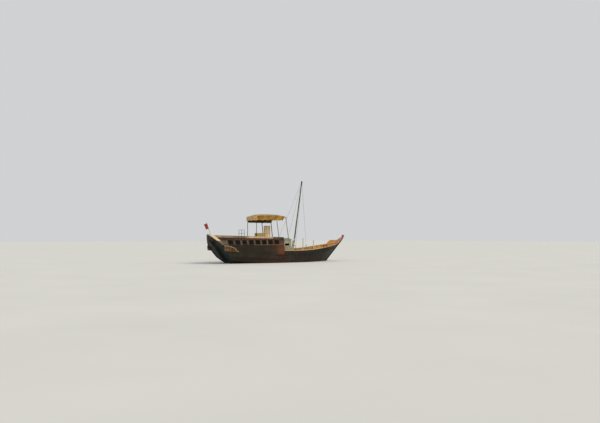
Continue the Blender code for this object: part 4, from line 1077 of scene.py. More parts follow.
@dataclass
class Repeats:
    """One small shape set on many points by Geometry Nodes, each with a tone of its own."""

    name: str
    unit: Unit
    width: float
    depth: float
    seed: int = 1
    spots: list[tuple[Place, Place, Place]] = field(default_factory=list)      # place, turn and size

    def stand(self, foot: Place, head: Place, face: Place = Y) -> None:
        """Add an upright between two ends, its width across the face's direction."""
        foot, head = Vector(foot), Vector(head)
        up = (head - foot).normalized()
        out = (Vector(face) - up * up.dot(Vector(face))).normalized()
        basis = Matrix((up.cross(out) * -1, out, up)).transposed()
        self.spots.append(((foot + head) / 2, basis.to_euler(), (1, 1, (head - foot).length)))

    def shape(self, add: Adder, width: Source, depth: Source) -> Node:
        """Make the small shape, one metre long where it has a length.

        Args:
            add: Adds a node to the group.
            width: The group's width.
            depth: The group's depth.

        Returns:
            The node that gives the shape.
        """
        if self.unit is Unit.STUD:
            ball = add("GeometryNodeMeshIcoSphere", {"Radius": 0.5, "Subdivisions": 1})
            flat = add("ShaderNodeCombineXYZ", {0: depth, 1: width, 2: width})
            return add("GeometryNodeTransform", {"Geometry": ball, "Scale": flat})
        line = add("GeometryNodeCurvePrimitiveLine", {"Start": (0.0, 0.0, -0.5), "End": (0.0, 0.0, 0.5)})
        if self.unit is Unit.SLAT:
            outline = add("GeometryNodeCurvePrimitiveQuadrilateral", {"Width": width, "Height": depth})
            edge = add("ShaderNodeMath", {0: depth, 1: 0.2}, operation="MULTIPLY")
            outline = add("GeometryNodeFilletCurve", {"Curve": outline, "Radius": edge})
            return add("GeometryNodeCurveToMesh", {"Curve": line, "Profile Curve": outline, "Fill Caps": True})
        rings = add("GeometryNodeResampleCurve", {"Curve": line, "Count": 15})
        share = add("GeometryNodeSplineParameter").outputs["Factor"]
        turn = add("ShaderNodeMath", {0: share, 1: math.tau * 1.5}, operation="MULTIPLY")
        wave = add("ShaderNodeMath", {0: turn}, operation="SINE")
        swell = add("ShaderNodeMapRange", {"Value": wave, "From Min": -1.0, "To Min": 0.55, "To Max": 1.0})
        radius = add("ShaderNodeMath", {0: swell, 1: width}, operation="MULTIPLY")
        circle = add("GeometryNodeCurvePrimitiveCircle", {"Resolution": 8, "Radius": 0.5})
        return add("GeometryNodeCurveToMesh", {
            "Curve": rings, "Profile Curve": circle, "Scale": radius, "Fill Caps": True})

    def group(self, material: bpy.types.Material) -> bpy.types.NodeTree:
        """Make the node group that sets the shape on the points."""
        tree = bpy.data.node_groups.new(self.name, "GeometryNodeTree")
        for label, way, kind in (
            ("Geometry", "INPUT", "Geometry"), ("Width", "INPUT", "Float"), ("Depth", "INPUT", "Float"),
            ("Seed", "INPUT", "Int"), ("Geometry", "OUTPUT", "Geometry"),
        ):
            tree.interface.new_socket(label, in_out=way, socket_type=f"NodeSocket{kind}")
        add = partial(add_node, tree)
        given = add("NodeGroupInput").outputs
        turn, size = (
            add("GeometryNodeInputNamedAttribute", {"Name": label}, data_type="FLOAT_VECTOR")
            for label in ("turn", "size"))
        placed = add("GeometryNodeInstanceOnPoints", {
            "Points": given["Geometry"], "Instance": self.shape(add, given["Width"], given["Depth"]),
            "Rotation": add("FunctionNodeEulerToRotation", {0: turn}), "Scale": size})
        tone = add("FunctionNodeRandomValue", {"Seed": given["Seed"]}, data_type="FLOAT").outputs["Value"]
        toned = add(
            "GeometryNodeStoreNamedAttribute", {"Geometry": placed, "Name": "tone", "Value": tone},
            data_type="FLOAT", domain="INSTANCE")
        real = add("GeometryNodeRealizeInstances", {"Geometry": toned})
        dressed = add("GeometryNodeSetMaterial", {"Geometry": real, "Material": material})
        add("NodeGroupOutput", {"Geometry": dressed})
        return tree

    def build(self, finish: Finish, slot: str = "") -> None:
        """Turn the spots into one plain mesh on the hull.

        Args:
            finish: Its finish.
            slot: Not used; passed on to keep, which ignores it.
        """
        points = bpy.data.meshes.new(f"{self.name}_points")
        points.from_pydata([tuple(spot) for spot, _, _ in self.spots], [], [])
        for label, column in (("turn", 1), ("size", 2)):
            layer = points.attributes.new(label, "FLOAT_VECTOR", "POINT")
            for item, spot in zip(layer.data, self.spots):
                item.vector = tuple(spot[column])
        carrier = bpy.data.objects.new(f"{self.name}_carrier", points)
        bpy.context.scene.collection.objects.link(carrier)
        change = carrier.modifiers.new("repeat", "NODES")
        change.node_group = self.group(finish.material())
        values = {"Width": self.width, "Depth": self.depth, "Seed": self.seed}
        for item in change.node_group.interface.items_tree:
            if item.in_out == "INPUT" and item.name in values:
                change[item.identifier] = values[item.name]
        keep(place_mesh(self.name, evaluated(carrier), angle=40.0), "hull", slot)


# The hull and her sides


@dataclass
class Planking:
    """The outer planking, laid on the skin in strakes with staggered butts, and its nails."""

    proud: float = 0.014
    poop_proud: float = 0.008
    seam: float = 0.006
    aft_share: float = -0.0056      # the planks run on over the transom's edge
    strakes: int = 11
    waist_strakes: int = 3
    poop_strakes: int = 5
    board: float = 5.0
    nail: float = 0.020
    nail_pitch: float = 0.55
    first_nailed: int = 4           # the strakes below lie under water

    def rows(self) -> list[tuple[Line, Line, float, float, float]]:
        """The strakes' lower and upper lines, their first and last share, and how proud they stand."""
        waist = BREAK_SHARE + 0.0006
        found = []
        for low, high, count, first, last, proud in (
            (level(HULL_FOOT_Z + 0.03), FORM.wale_low, self.strakes, self.aft_share, STEM_SHARE, self.proud),
            (FORM.wale_high, FORM.sheer_z, self.waist_strakes, waist, STEM_SHARE, self.proud - 0.002),
            (FORM.wale_high, level(SILL_Z - SILL_HALF), self.poop_strakes, self.aft_share, BREAK_SHARE,
             self.poop_proud),
        ):
            lines = [between(low, high, share) for share in steps(0.0, 1.0, count)]
            found += [(a, b, first, last, proud) for a, b in zip(lines, lines[1:])]
        return found

    def build(self) -> None:
        """Lay the strakes and drive the nails."""
        nails = Repeats("plank_nails", Unit.STUD, self.nail, self.nail * 0.5, seed=5)
        edge = self.seam / 2
        for side, tag in SIDES:
            lower, upper = Joiner(11 + side), Joiner(21 + side)
            for number, (low, high, first, last, proud) in enumerate(self.rows()):
                shape = upper if number >= self.strakes + self.waist_strakes else lower
                inner, face = -0.02, proud - 0.004
                strake = section(low, high, (
                    (inner, 0, edge), (face, 0, edge), (proud, 0, edge + 0.005), (proud, 1 / 3, edge / 3),
                    (proud, 2 / 3, -edge / 3), (proud, 1, -edge - 0.005), (face, 1, -edge), (inner, 1, -edge)))
                shape.boards(side, strake, first, last, self.board)
                x = FORM.place(first, low(first))[0] + 0.15
                end = FORM.place(last, low(last))[0] - 0.3
                while x < end and number >= self.first_nailed:
                    for share in (0.25, 0.75):
                        u = FORM.share_at(x, low(FORM.share_at(x, 0.5)))
                        z = low(u) + share * (high(u) - low(u))
                        spot = FORM.at(x, z, proud, side)
                        out = Vector(FORM.at(x, z, proud + 0.1, side)) - Vector(spot)
                        nails.spots.append((spot, (0, 0, math.atan2(out.y, out.x)), (1, 1, 1)))
                    x += self.nail_pitch
            lower.keep(f"hull_planks_{tag}", OILED, "oiled_planking")
            upper.keep(f"poop_planks_{tag}", UPPER, "poop_teak")
            dress(OILED, f"bulwark_{tag}")
            dress(UPPER, f"poop_side_{tag}")
        nails.build(NAILS)
        dress(OILED, "hull_body", "keel")


@dataclass
class Rails:
    """Wales, ledges, cap rails, washboards and the poop rails, in scarfed lengths along the skin."""

    wale_depth: float = 0.07
    sill_depth: float = 0.10
    cap_in: float = 0.135
    cap_out: float = 0.045
    washboard_start: float = 0.945
    washboard_full: float = 0.9525
    washboard_first: float = 0.35
    washboard_top: float = 3.05
    sweep_x: float = 10.85
    sweep: float = 0.78
    rail_cap: float = 0.05
    rail_over: float = 0.04
    foot_rise: float = 0.021
    stanchion_x: Pair = (-9.3, -0.8)
    stanchion_pitch: float = 0.86
    hoop_xs: tuple[float, ...] = (-7.25, -6.88, -6.50)
    hoop_top: float = 4.42

    def board(
        self, low: Line, high: Line, shares: Pair, inner: float, out: float, ease: float = 0.005
    ) -> Section:
        """Section of one board between two shares of the height, from an inner to an outer face."""
        first, last = shares
        return section(low, high, (
            (inner, first, 0.002), (out - 0.004, first, 0.002), (out, first, 0.002 + ease),
            (out, last, -0.002 - ease), (out - 0.004, last, -0.002), (inner, last, -0.002)))

    def washboard_low(self, u: float) -> float:
        """Foot of the washboard, on the cap rail."""
        return FORM.sheer_z(u) + CAP_HEIGHT

    def washboard_high(self, u: float) -> float:
        """Top of the washboard, sweeping up to the stem."""
        low, high = self.washboard_low(u), self.washboard_top
        for _ in range(4):
            x = FORM.place(u, high)[0]
            high = self.washboard_top + self.sweep * max(0.0, x - self.sweep_x)
        grown = min(1.0, (u - self.washboard_start) / (self.washboard_full - self.washboard_start))
        return low + (high - low) * (self.washboard_first + (1 - self.washboard_first) * grown)

    def rail_high(self, u: float) -> float:
        """Top of the poop rail's boards, under its cap."""
        return FORM.rail_z(u) - self.rail_cap

    def foot_top(self, x: float) -> float:
        """Top of the brown strip under the poop rail at a place along the ship."""
        return 3.31 - self.foot_rise * (x + 3.0)

    def rail_foot(self, u: float) -> float:
        """Top of that strip at a share of the length."""
        return self.foot_top(FORM.place(u, 3.3)[0])

    def build(self) -> None:
        """Lay the rails of both sides."""
        start, aft = BREAK_SHARE + 0.0006, Planking().aft_share
        low, out = -0.01, self.wale_depth
        wale = section(FORM.wale_low, FORM.wale_high, (
            (low, 0, 0), (out - 0.02, 0, 0), (out, 0, 0.025), (out, 1, -0.014), (out - 0.012, 1, 0),
            (low, 1, 0)))
        out = self.sill_depth
        sill = section(level(SILL_Z - SILL_HALF), level(SILL_Z + SILL_HALF), (
            (low, 0, 0), (out - 0.05, 0, 0), (out - 0.02, 0, 0.03), (out, 0, 0.04), (out, 1, -0.014),
            (out - 0.012, 1, 0), (low, 1, 0)))
        inner, out = -self.cap_in, self.cap_out
        cap = section(FORM.sheer_z, FORM.sheer_z, [(offset, 0, SEAT + z) for offset, z in (
            (inner, 0.014), (inner + 0.012, 0), (out - 0.012, 0), (out, 0.014), (out, CAP_HEIGHT - 0.018),
            (out - 0.018, CAP_HEIGHT - 0.002), (-0.045, CAP_HEIGHT), (inner + 0.018, CAP_HEIGHT - 0.002),
            (inner, CAP_HEIGHT - 0.018))])
        foot_z, deck = POOP_SIDE_TOP_Z - 0.03, POOP_DECK_Z - POOP_SIDE_TOP_Z + 0.03
        strip = section(level(foot_z), self.rail_foot, (
            (-0.004, 0, 0), (0.020, 0, 0), (0.034, 0, 0.012), (0.034, 0, deck + 0.02), (0.022, 0, deck + 0.04),
            (0.020, 1, -0.012), (0.010, 1, 0), (-0.004, 1, 0)))
        inner, out = -RAIL_PLANK - self.rail_over, self.rail_over
        top = section(self.rail_high, FORM.rail_z, (
            (inner, 0, 0.01), (inner + 0.01, 0, 0), (out - 0.01, 0, 0), (out, 0, 0.01), (out, 1, -0.014),
            (out - 0.014, 1, 0), (inner + 0.014, 1, 0), (inner, 1, -0.014)))
        stanchions = Repeats("poop_rail_stanchions", Unit.SLAT, 0.055, 0.022, seed=8)
        for side, tag in SIDES:
            for number, (name, form, first, last, length, finish, slot, node) in enumerate((
                ("wale_timbers", wale, aft, STEM_SHARE, 6.0, OILED, "tarred_timber", f"wale_{tag}"),
                ("window_ledge", sill, aft, BREAK_SHARE, 4.0, LEDGE, "poop_teak", f"window_sill_{tag}"),
                ("waist_cap_rail", cap, start, STEM_SHARE, 3.6, CAP, "cream_paint", f"cap_rail_{tag}"),
                ("rail_foot", strip, aft, BREAK_SHARE, 3.0, RAIL_FOOT, "poop_teak", None),
                ("poop_rail_cap", top, 0.0005, BREAK_SHARE, 3.4, RAIL_CAP, "cream_paint", None),
            )):
                shape = Joiner(30 + number + side)
                shape.boards(side, form, first, last, length, gap=0.003)
                shape.keep(f"{name}_{tag}", finish, slot, *filter(None, (node,)))
            shape = Joiner(40 + side)
            for k in range(3):
                out = 0.006 if k % 2 else 0.0
                form = self.board(self.washboard_low, self.washboard_high, (k / 3, (k + 1) / 3), -PLANK, out)
                shape.along(side, form, self.washboard_start + 0.0008, STEM_SHARE, 26)
            shape.keep(f"washboard_boards_{tag}", WASH, "varnished_timber", f"bow_washboard_{tag}")
            shape = Joiner(50 + side)
            for k in range(2):
                shares = (k / 2, (k + 1) / 2)
                form = self.board(level(POOP_DECK_Z + SEAT), self.rail_high, shares, -RAIL_PLANK, 0.0, 0.004)
                shape.boards(side, form, 0.0005, BREAK_SHARE, 3.1, gap=0.003)
            shape.keep(f"rail_boards_{tag}", RAIL, "cream_paint", f"poop_rail_{tag}")
            x, end = self.stanchion_x
            while x < end:
                head = self.rail_high(FORM.share_at(x, 3.5)) - 0.004
                for offset, foot in (
                    (0.008, self.foot_top(x) + 0.015), (-RAIL_PLANK - 0.010, POOP_DECK_Z + 0.05)):
                    stanchions.stand(FORM.at(x, foot, offset, side), FORM.at(x, head, offset, side))
                x += self.stanchion_pitch
        stanchions.build(RAIL, "cream_paint")
        self.build_hoop()

    def build_hoop(self) -> None:
        """Fix the boarding hoop outside the starboard rail, where people climb in."""
        shape = Joiner(58)
        feet = []
        for x in self.hoop_xs:
            foot = FORM.at(x, POOP_DECK_Z + 0.02, 0.056, -1)
            feet.append(Vector((x, foot[1], 0)))
            shape.tube([(x, foot[1], z) for z in (foot[2], 3.8, self.hoop_top)], [0.024], 12)
            for z in (POOP_DECK_Z + 0.1, 3.5):
                shape.bar(FORM.at(x, z, 0.0, -1), (x, foot[1], z), 0.07, 0.03, X, 0.003)
        for z in (self.hoop_top - 0.45, self.hoop_top):
            shape.tube([spot + Vector((0, 0, z)) for spot in feet], [0.022], 12)
        shape.keep("boarding_hoop", IRON)


@dataclass
class Ceiling:
    """The waist's inner boards and ribs."""

    thick: float = 0.014
    pitch: float = 0.64
    rib: Pair = (0.085, 0.055)
    rib_x: Pair = (-0.2, 9.4)
    front_x: Pair = (7.05, 7.45)      # no ribs here, where the fore deck starts

    def board(self, first: float, last: float, floor: float) -> Section:
        """Section of one inner board between two shares of the height over a deck."""
        inner, outer = -PLANK - self.thick, -PLANK + 0.004
        low, high = (1 - first) * 0.006 - first * 0.002 + 0.002, (1 - last) * 0.006 - last * 0.002 - 0.002
        return section(level(floor), FORM.sheer_z, (
            (outer, first, low), (inner, first, low), (inner, last, high), (outer, last, high)))

    def build(self) -> None:
        """Lay the boards and set the ribs."""
        ribs = Repeats("waist_ribs", Unit.SLAT, *self.rib, seed=3)
        edge = 0.8563
        inner, outer = -PLANK - self.thick, -PLANK + 0.004
        corner = section(level(DECK_TOP_Z + 0.006), level(FORE_DECK_Z - 0.01), (
            (outer, 0, 0), (inner, 0, 0), (inner, 1, 0), (outer, 1, 0)))
        for side, tag in SIDES:
            shape = Joiner(60 + side)
            for k in range(3):
                shape.boards(side, self.board(k / 3, (k + 1) / 3, DECK_TOP_Z), 0.4465, 0.856, 3.2, 0.003)
                shape.boards(side, self.board(k / 3, (k + 1) / 3, FORE_DECK_Z), edge, 0.9935, 3.0, 0.003)
            shape.along(side, corner, edge, FORM.share_at(7.26, DECK_TOP_Z), 3)
            shape.keep(f"ceiling_{tag}", INNER, "varnished_timber")
            x, end = self.rib_x
            while x < end:
                floor = DECK_TOP_Z if x < self.front_x[0] else FORE_DECK_Z
                head = FORM.sheer_z(FORM.share_at(x, 1.9)) - 0.004
                offset = -PLANK - self.thick - self.rib[1] / 2 + 0.004
                if not self.front_x[0] < x < self.front_x[1]:
                    ribs.stand(FORM.at(x, floor + 0.004, offset, side), FORM.at(x, head, offset, side))
                x += self.pitch
        ribs.build(COAMING, "varnished_timber")


@dataclass
class CabinWindows:
    """The cabin windows of both sides: frames, turned bars, and the boards between them."""

    count: int = 8
    fore_x: float = -1.75
    pitch: float = 0.95
    width: float = 0.56
    low: float = 2.58
    high: float = 3.05
    trim: float = 0.05
    jamb: float = 0.10
    bars: int = 5

    def build(self) -> None:
        """Frame each window."""
        half = self.width / 2
        foot, head = self.low - self.trim, self.high + self.trim
        rails = Repeats("window_bars", Unit.TURNED, 0.034, 0.034, seed=4)
        for side, tag in SIDES:
            frames, piers = Joiner(70 + side), Joiner(74 + side)
            edges = [-0.70]
            for k in range(self.count):
                x = self.fore_x - k * self.pitch
                edges += [x + half + self.jamb, x - half - self.jamb]
                for cut in (-1, 1):
                    span = sorted((x + cut * half, x + cut * (half + self.jamb)))
                    frames.slab(side, span, (foot, head), (-0.03, 0.030), (1, 3))
                for rise, depth in (
                    ((self.high, head), (-0.03, 0.030)), ((foot, self.low), (-0.03, 0.036)),
                    ((2.80, 2.83), (-0.045, -0.015)),
                ):
                    frames.slab(side, (x - half, x + half), rise, depth)
                for n in range(self.bars):
                    at = x - half + self.width * (n + 0.5) / self.bars
                    rails.stand(FORM.at(at, self.low, -0.03, side), FORM.at(at, self.high, -0.03, side))
            edges.append(-9.66)
            for fore, aft in zip(edges[::2], edges[1::2]):
                middle = (fore + aft) / 2
                aft = max(aft, FORM.aft_x(2.5) - 0.09)
                for start, end in ((aft + 0.002, middle - 0.002), (middle + 0.002, fore - 0.002)):
                    if end > start:
                        rise = (SILL_Z + SILL_HALF, POOP_SIDE_TOP_Z - 0.03)
                        piers.slab(side, (start, end), rise, (-0.01, 0.009), (2, 3))
            frames.keep(f"window_frames_{tag}", FRAME, "poop_teak")
            piers.keep(f"window_piers_{tag}", PIER, "poop_teak")
        rails.build(BAR, "poop_teak")


@dataclass
class CabinPartitions:
    """Board partitions across the stern cabin, between its three rooms, each with a ledged door."""

    places: tuple[float, ...] = (-8.215, -6.25, -3.45)
    thick: float = 0.024
    low: float = DECK_TOP_Z + 0.004
    high: float = POOP_SIDE_TOP_Z - 0.012
    boards: int = 11

    def build(self) -> None:
        """Stand the boards across, following the sides' inward lean."""
        shape = Joiner(78)
        half = self.thick / 2
        for x in self.places:
            for n in range(-self.boards, self.boards):
                loops = []
                for z in steps(self.low, self.high, 6):
                    reach = FORM.at(x, z, -PLANK - 0.012, 1)[1]
                    y0, y1 = reach * n / self.boards + 0.002, reach * (n + 1) / self.boards - 0.002
                    loops.append([(x - half, y0, z), (x + half, y0, z), (x + half, y1, z), (x - half, y1, z)])
                shape.loft(loops)
            for z in (1.25, 1.95, 2.65):
                shape.bar((x - 0.022, -0.34, z), (x - 0.022, 0.34, z), 0.09, 0.018, Z)
        shape.keep("cabin_partitions", PARTITION, "poop_teak")


@dataclass
class Gallery:
    """The quarter galleries on the wale, with their lids, mouldings and small windows."""

    tops: tuple[Pair, ...] = (      # height by share of the length
        (-0.06, 2.37), (0.0, 2.36), (0.015, 2.28), (0.03, 2.19), (0.05, 2.04), (0.075, 1.62))
    depth: float = 0.32
    aft_x: float = -9.46
    gap: float = 0.016

    def sizes(self, u: float) -> tuple[float, float, float]:
        """Foot and top of the gallery, and how far it stands out at its top."""
        low = FORM.wale_z(u) + WALE_HALF
        high = FORM.smooth([row[0] for row in self.tops], [row[1] for row in self.tops], u)
        return low, high, self.depth * (0.2 + 0.8 * min(1.0, (high - low) / 0.4))

    def ring(self, side: int, x: float, section: Section) -> Loop:
        """Section at a place along the ship, taken plumb."""
        return [FORM.at(x, z, offset, side) for offset, z in section(FORM.share_at(x, 1.9))]

    def body(self, u: float) -> Sequence[Pair]:
        """Section of the gallery's body."""
        low, high, out = self.sizes(u)
        low += 0.001
        rise = high - low
        return (
            (self.gap, low), (0.45 * out, low), (0.74 * out, low + 0.3 * rise), (0.93 * out, low + 0.6 * rise),
            (out, low + 0.78 * rise), (out, high - 0.004), (self.gap, high - 0.004))

    def lid(self, u: float) -> Sequence[Pair]:
        """Section of the board on top."""
        _, high, out = self.sizes(u)
        return (
            (self.gap, high - 0.006), (out + 0.02, high - 0.006), (out + 0.03, high + 0.006),
            (out + 0.03, high + 0.026), (out + 0.02, high + 0.036), (self.gap, high + 0.036))

    def belt(self, share: float) -> Section:
        """Section of a moulding round the body at a share of its height."""
        def at(u: float) -> Sequence[Pair]:
            """Its points at a share of the length."""
            low, high, out = self.sizes(u)
            z = low + share * (high - low)
            face = (0.45 + 0.55 * min(1.0, share / 0.78) ** 0.75) * out
            return (
                (face - 0.02, z - 0.02), (face + 0.010, z - 0.02), (face + 0.020, z), (face + 0.010, z + 0.02),
                (face - 0.02, z + 0.02))
        return at

    def build(self) -> None:
        """Make both galleries."""
        xs = steps(self.aft_x, FORM.place(0.073, 1.6)[0], 16)
        for side, tag in SIDES:
            body, lid, trim, panes, ends = (Joiner(80 + n) for n in range(5))
            body.loft([self.ring(side, x, self.body) for x in xs], 0.5)
            ends.loft([self.ring(side, self.aft_x - d, self.body) for d in (0.0006, 0.014)])
            lid.loft([self.ring(side, x, self.lid) for x in xs])
            for share in (0.08, 0.42, 0.86):
                trim.loft([self.ring(side, x, self.belt(share)) for x in xs[:-2]])
            for k in (0, 3, 6, 9):
                x = xs[k] + 0.03
                low, high, out = self.sizes(FORM.share_at(x, 1.9))
                foot = FORM.at(x, low + 0.45 * (high - low), 0.86 * out, side)
                trim.bar(foot, FORM.at(x, high - 0.02, out + 0.004, side), 0.05, 0.035, X)
            for k in (1, 4, 7):
                x = (xs[k] + xs[k + 1]) / 2 + 0.06
                low, high, out = self.sizes(FORM.share_at(x, 1.9))
                foot = FORM.at(x, low + 0.52 * (high - low), 0.9 * out, side)
                head = FORM.at(x, high - 0.13 * (high - low) - 0.03, out + 0.002, side)
                panes.bar(foot, head, 0.15, 0.02, X)
            body.keep(f"gallery_body_{tag}", GALLERY, "varnished_timber", f"quarter_gallery_{tag}")
            lid.keep(f"gallery_lid_{tag}", GALLERY_TOP, "varnished_timber")
            trim.keep(f"gallery_mouldings_{tag}", MOULDING, "varnished_timber")
            panes.keep(f"gallery_panes_{tag}", DARK, "tarred_timber")
            ends.keep(f"gallery_ends_{tag}", STERN_TIMBER, "tarred_timber")


@dataclass
class Stern:
    """The raked transom's boards, its pale arch, the stern post, and the stem at the other end."""

    thick: float = 0.08
    board: float = 0.23
    proud: float = 0.018
    proud_high: float = 0.004      # leaves the yoke room to swing
    edge_width: float = 0.15
    edge_depth: float = 0.05
    quarter: float = 0.38
    quarter_foot: float = 2.42
    post_half: float = 0.106
    post_top: float = 2.92
    crest_thick: float = 0.04

    def edge(self) -> list[Pair]:
        """The transom's outline from its foot to its crest, up the rake and out."""
        found = []
        z = -0.24
        while z < CREST_Z - 0.02:
            found.append((FORM.stern_w(z), FORM.half_breadth(0.0, z)))
            z += 0.09
        return found + [(FORM.stern_w(CREST_Z) - 0.004, 0.0)]

    def outward(self, path: Sequence[Pair], i: int) -> Pair:
        """Direction square to the outline at one of its points, up the rake and out."""
        before, after = path[max(i - 1, 0)], path[min(i + 1, len(path) - 1)]
        tw, ty = after[0] - before[0], after[1] - before[1]
        length = math.hypot(tw, ty)
        return -ty / length, tw / length

    def inner(self, path: Sequence[Pair], width: float) -> list[Pair]:
        """The outline moved inward, and ended where it meets the middle."""
        found = []
        for i, (w, y) in enumerate(path[:-1]):
            dw, dy = self.outward(path, i)
            found.append((w - width * dw, y - width * dy))
        kept = [point for point in found if point[1] > 0]
        (w0, y0), (w1, y1) = kept[-2], kept[-1]
        top = w1 + (w1 - w0) * y1 / (y0 - y1)
        return kept + [(top, 0.0)] * (len(path) - len(kept))

    def arch(self, shape: Joiner, side: int, width: float, depth: Pair) -> None:
        """Add one side of an arch board of a width in from the outline, between two depths."""
        path = self.edge()
        outside = [(w, y + 0.012) for w, y in path[:-1]] + path[-1:]
        near, far = self.thick + depth[0], self.thick + depth[1]
        shape.loft([
            [FORM.stern(w, d, side * y) for (w, y), d in ((a, near), (b, near), (b, far), (a, far))]
            for a, b in zip(outside, self.inner(path, width))])

    def crest(self) -> None:
        """Cap the transom's top edge, where the two rails meet."""
        shape = Joiner(93)
        path = [point for point in self.edge() if FORM.stern(point[0], 0)[2] > 3.25]
        near, far = -0.05, self.thick + self.edge_depth + 0.012
        for side in (-1, 1):
            loops = []
            for i, (w, y) in enumerate(path):
                dw, dy = self.outward(path, i)
                a, b = (
                    (w + out * dw, max(0.0, y + out * dy) if y > 0 else 0.0)
                    for out in (0.013, self.crest_thick))
                corners = ((a, near), (b, near), (b, far), (a, far))
                loops.append([FORM.stern(up, d, side * across) for (up, across), d in corners])
            shape.loft(loops)
        shape.keep("crest_cap", RAIL_CAP, "cream_paint")

    def build(self) -> None:
        """Board the transom and ease the posts."""
        self.build_boards()
        edging = Joiner(91)
        for side in (-1, 1):
            self.arch(edging, side, self.edge_width, (0.0003, self.edge_depth - 0.012))
            self.arch(edging, side, 0.06, (self.edge_depth - 0.013, self.edge_depth + 0.010))
        edging.keep("transom_arch", STERN_EDGE, "cream_paint", "stern_moulding")
        quarter = Joiner(92)
        for side in (-1, 1):
            loops = []
            z = self.quarter_foot
            while z < CREST_Z - 0.07:
                aft = -0.0066
                fore = aft + self.quarter * min(1.0, 0.35 + (z - self.quarter_foot) / 0.5) / SKIN_LENGTH
                corners = ((aft, 0.010), (aft, 0.040), (fore, 0.044), (fore, 0.010))
                plan = [FORM.skin(u, z, offset) for u, offset in corners]
                loops.append([(x, side * y, z) for x, y in plan])
                z += 0.0675
            quarter.loft(loops)
        quarter.keep("quarter_boards", QUARTER, "cream_paint")
        dress(STERN_TIMBER, "transom", "stern_post")
        self.crest()
        soften("stem_post", STEM, "tarred_timber", edge=0.02)

    def build_boards(self) -> None:
        """Board the transom across, round the stern post."""
        boards = Joiner(90)
        inside = self.inner(self.edge(), self.edge_width - 0.02)

        def reach(w: float) -> float:
            """Half width inside the arch at a distance up the rake."""
            for (w0, y0), (w1, y1) in zip(inside, inside[1:]):
                if w0 <= w <= w1 and w1 > w0:
                    return y0 + (y1 - y0) * (w - w0) / (w1 - w0)
            return 0.0

        w = FORM.stern_w(-1.1)
        top = inside[-1][0]
        back = self.thick - 0.01
        while w < top - 0.05:
            end = min(w + self.board, top)
            rows = []
            for at in steps(w + 0.003, end - 0.003, 4):
                z = FORM.stern(at, 0)[2]
                rows.append((at, reach(at) if z > 0.62 else FORM.half_breadth(0.0, z)))
            post = self.post_half if FORM.stern(w, self.thick)[2] < self.post_top else 0.0
            proud = self.proud if FORM.stern(end, self.thick)[2] < self.post_top else self.proud_high
            out = self.thick + proud
            near = post + 0.001
            for side in (-1, 1):
                loops = []
                for at, far in rows:
                    if far - post > 0.02:
                        corners = ((back, near), (out, near), (out, far), (back, far))
                        loops.append([FORM.stern(at, d, side * y) for d, y in corners])
                if len(loops) > 1:
                    boards.loft(loops)
            w = end
        boards.keep("transom_boards", TRANSOM_BOARDS, "tarred_timber")


# Decks and what stands on them


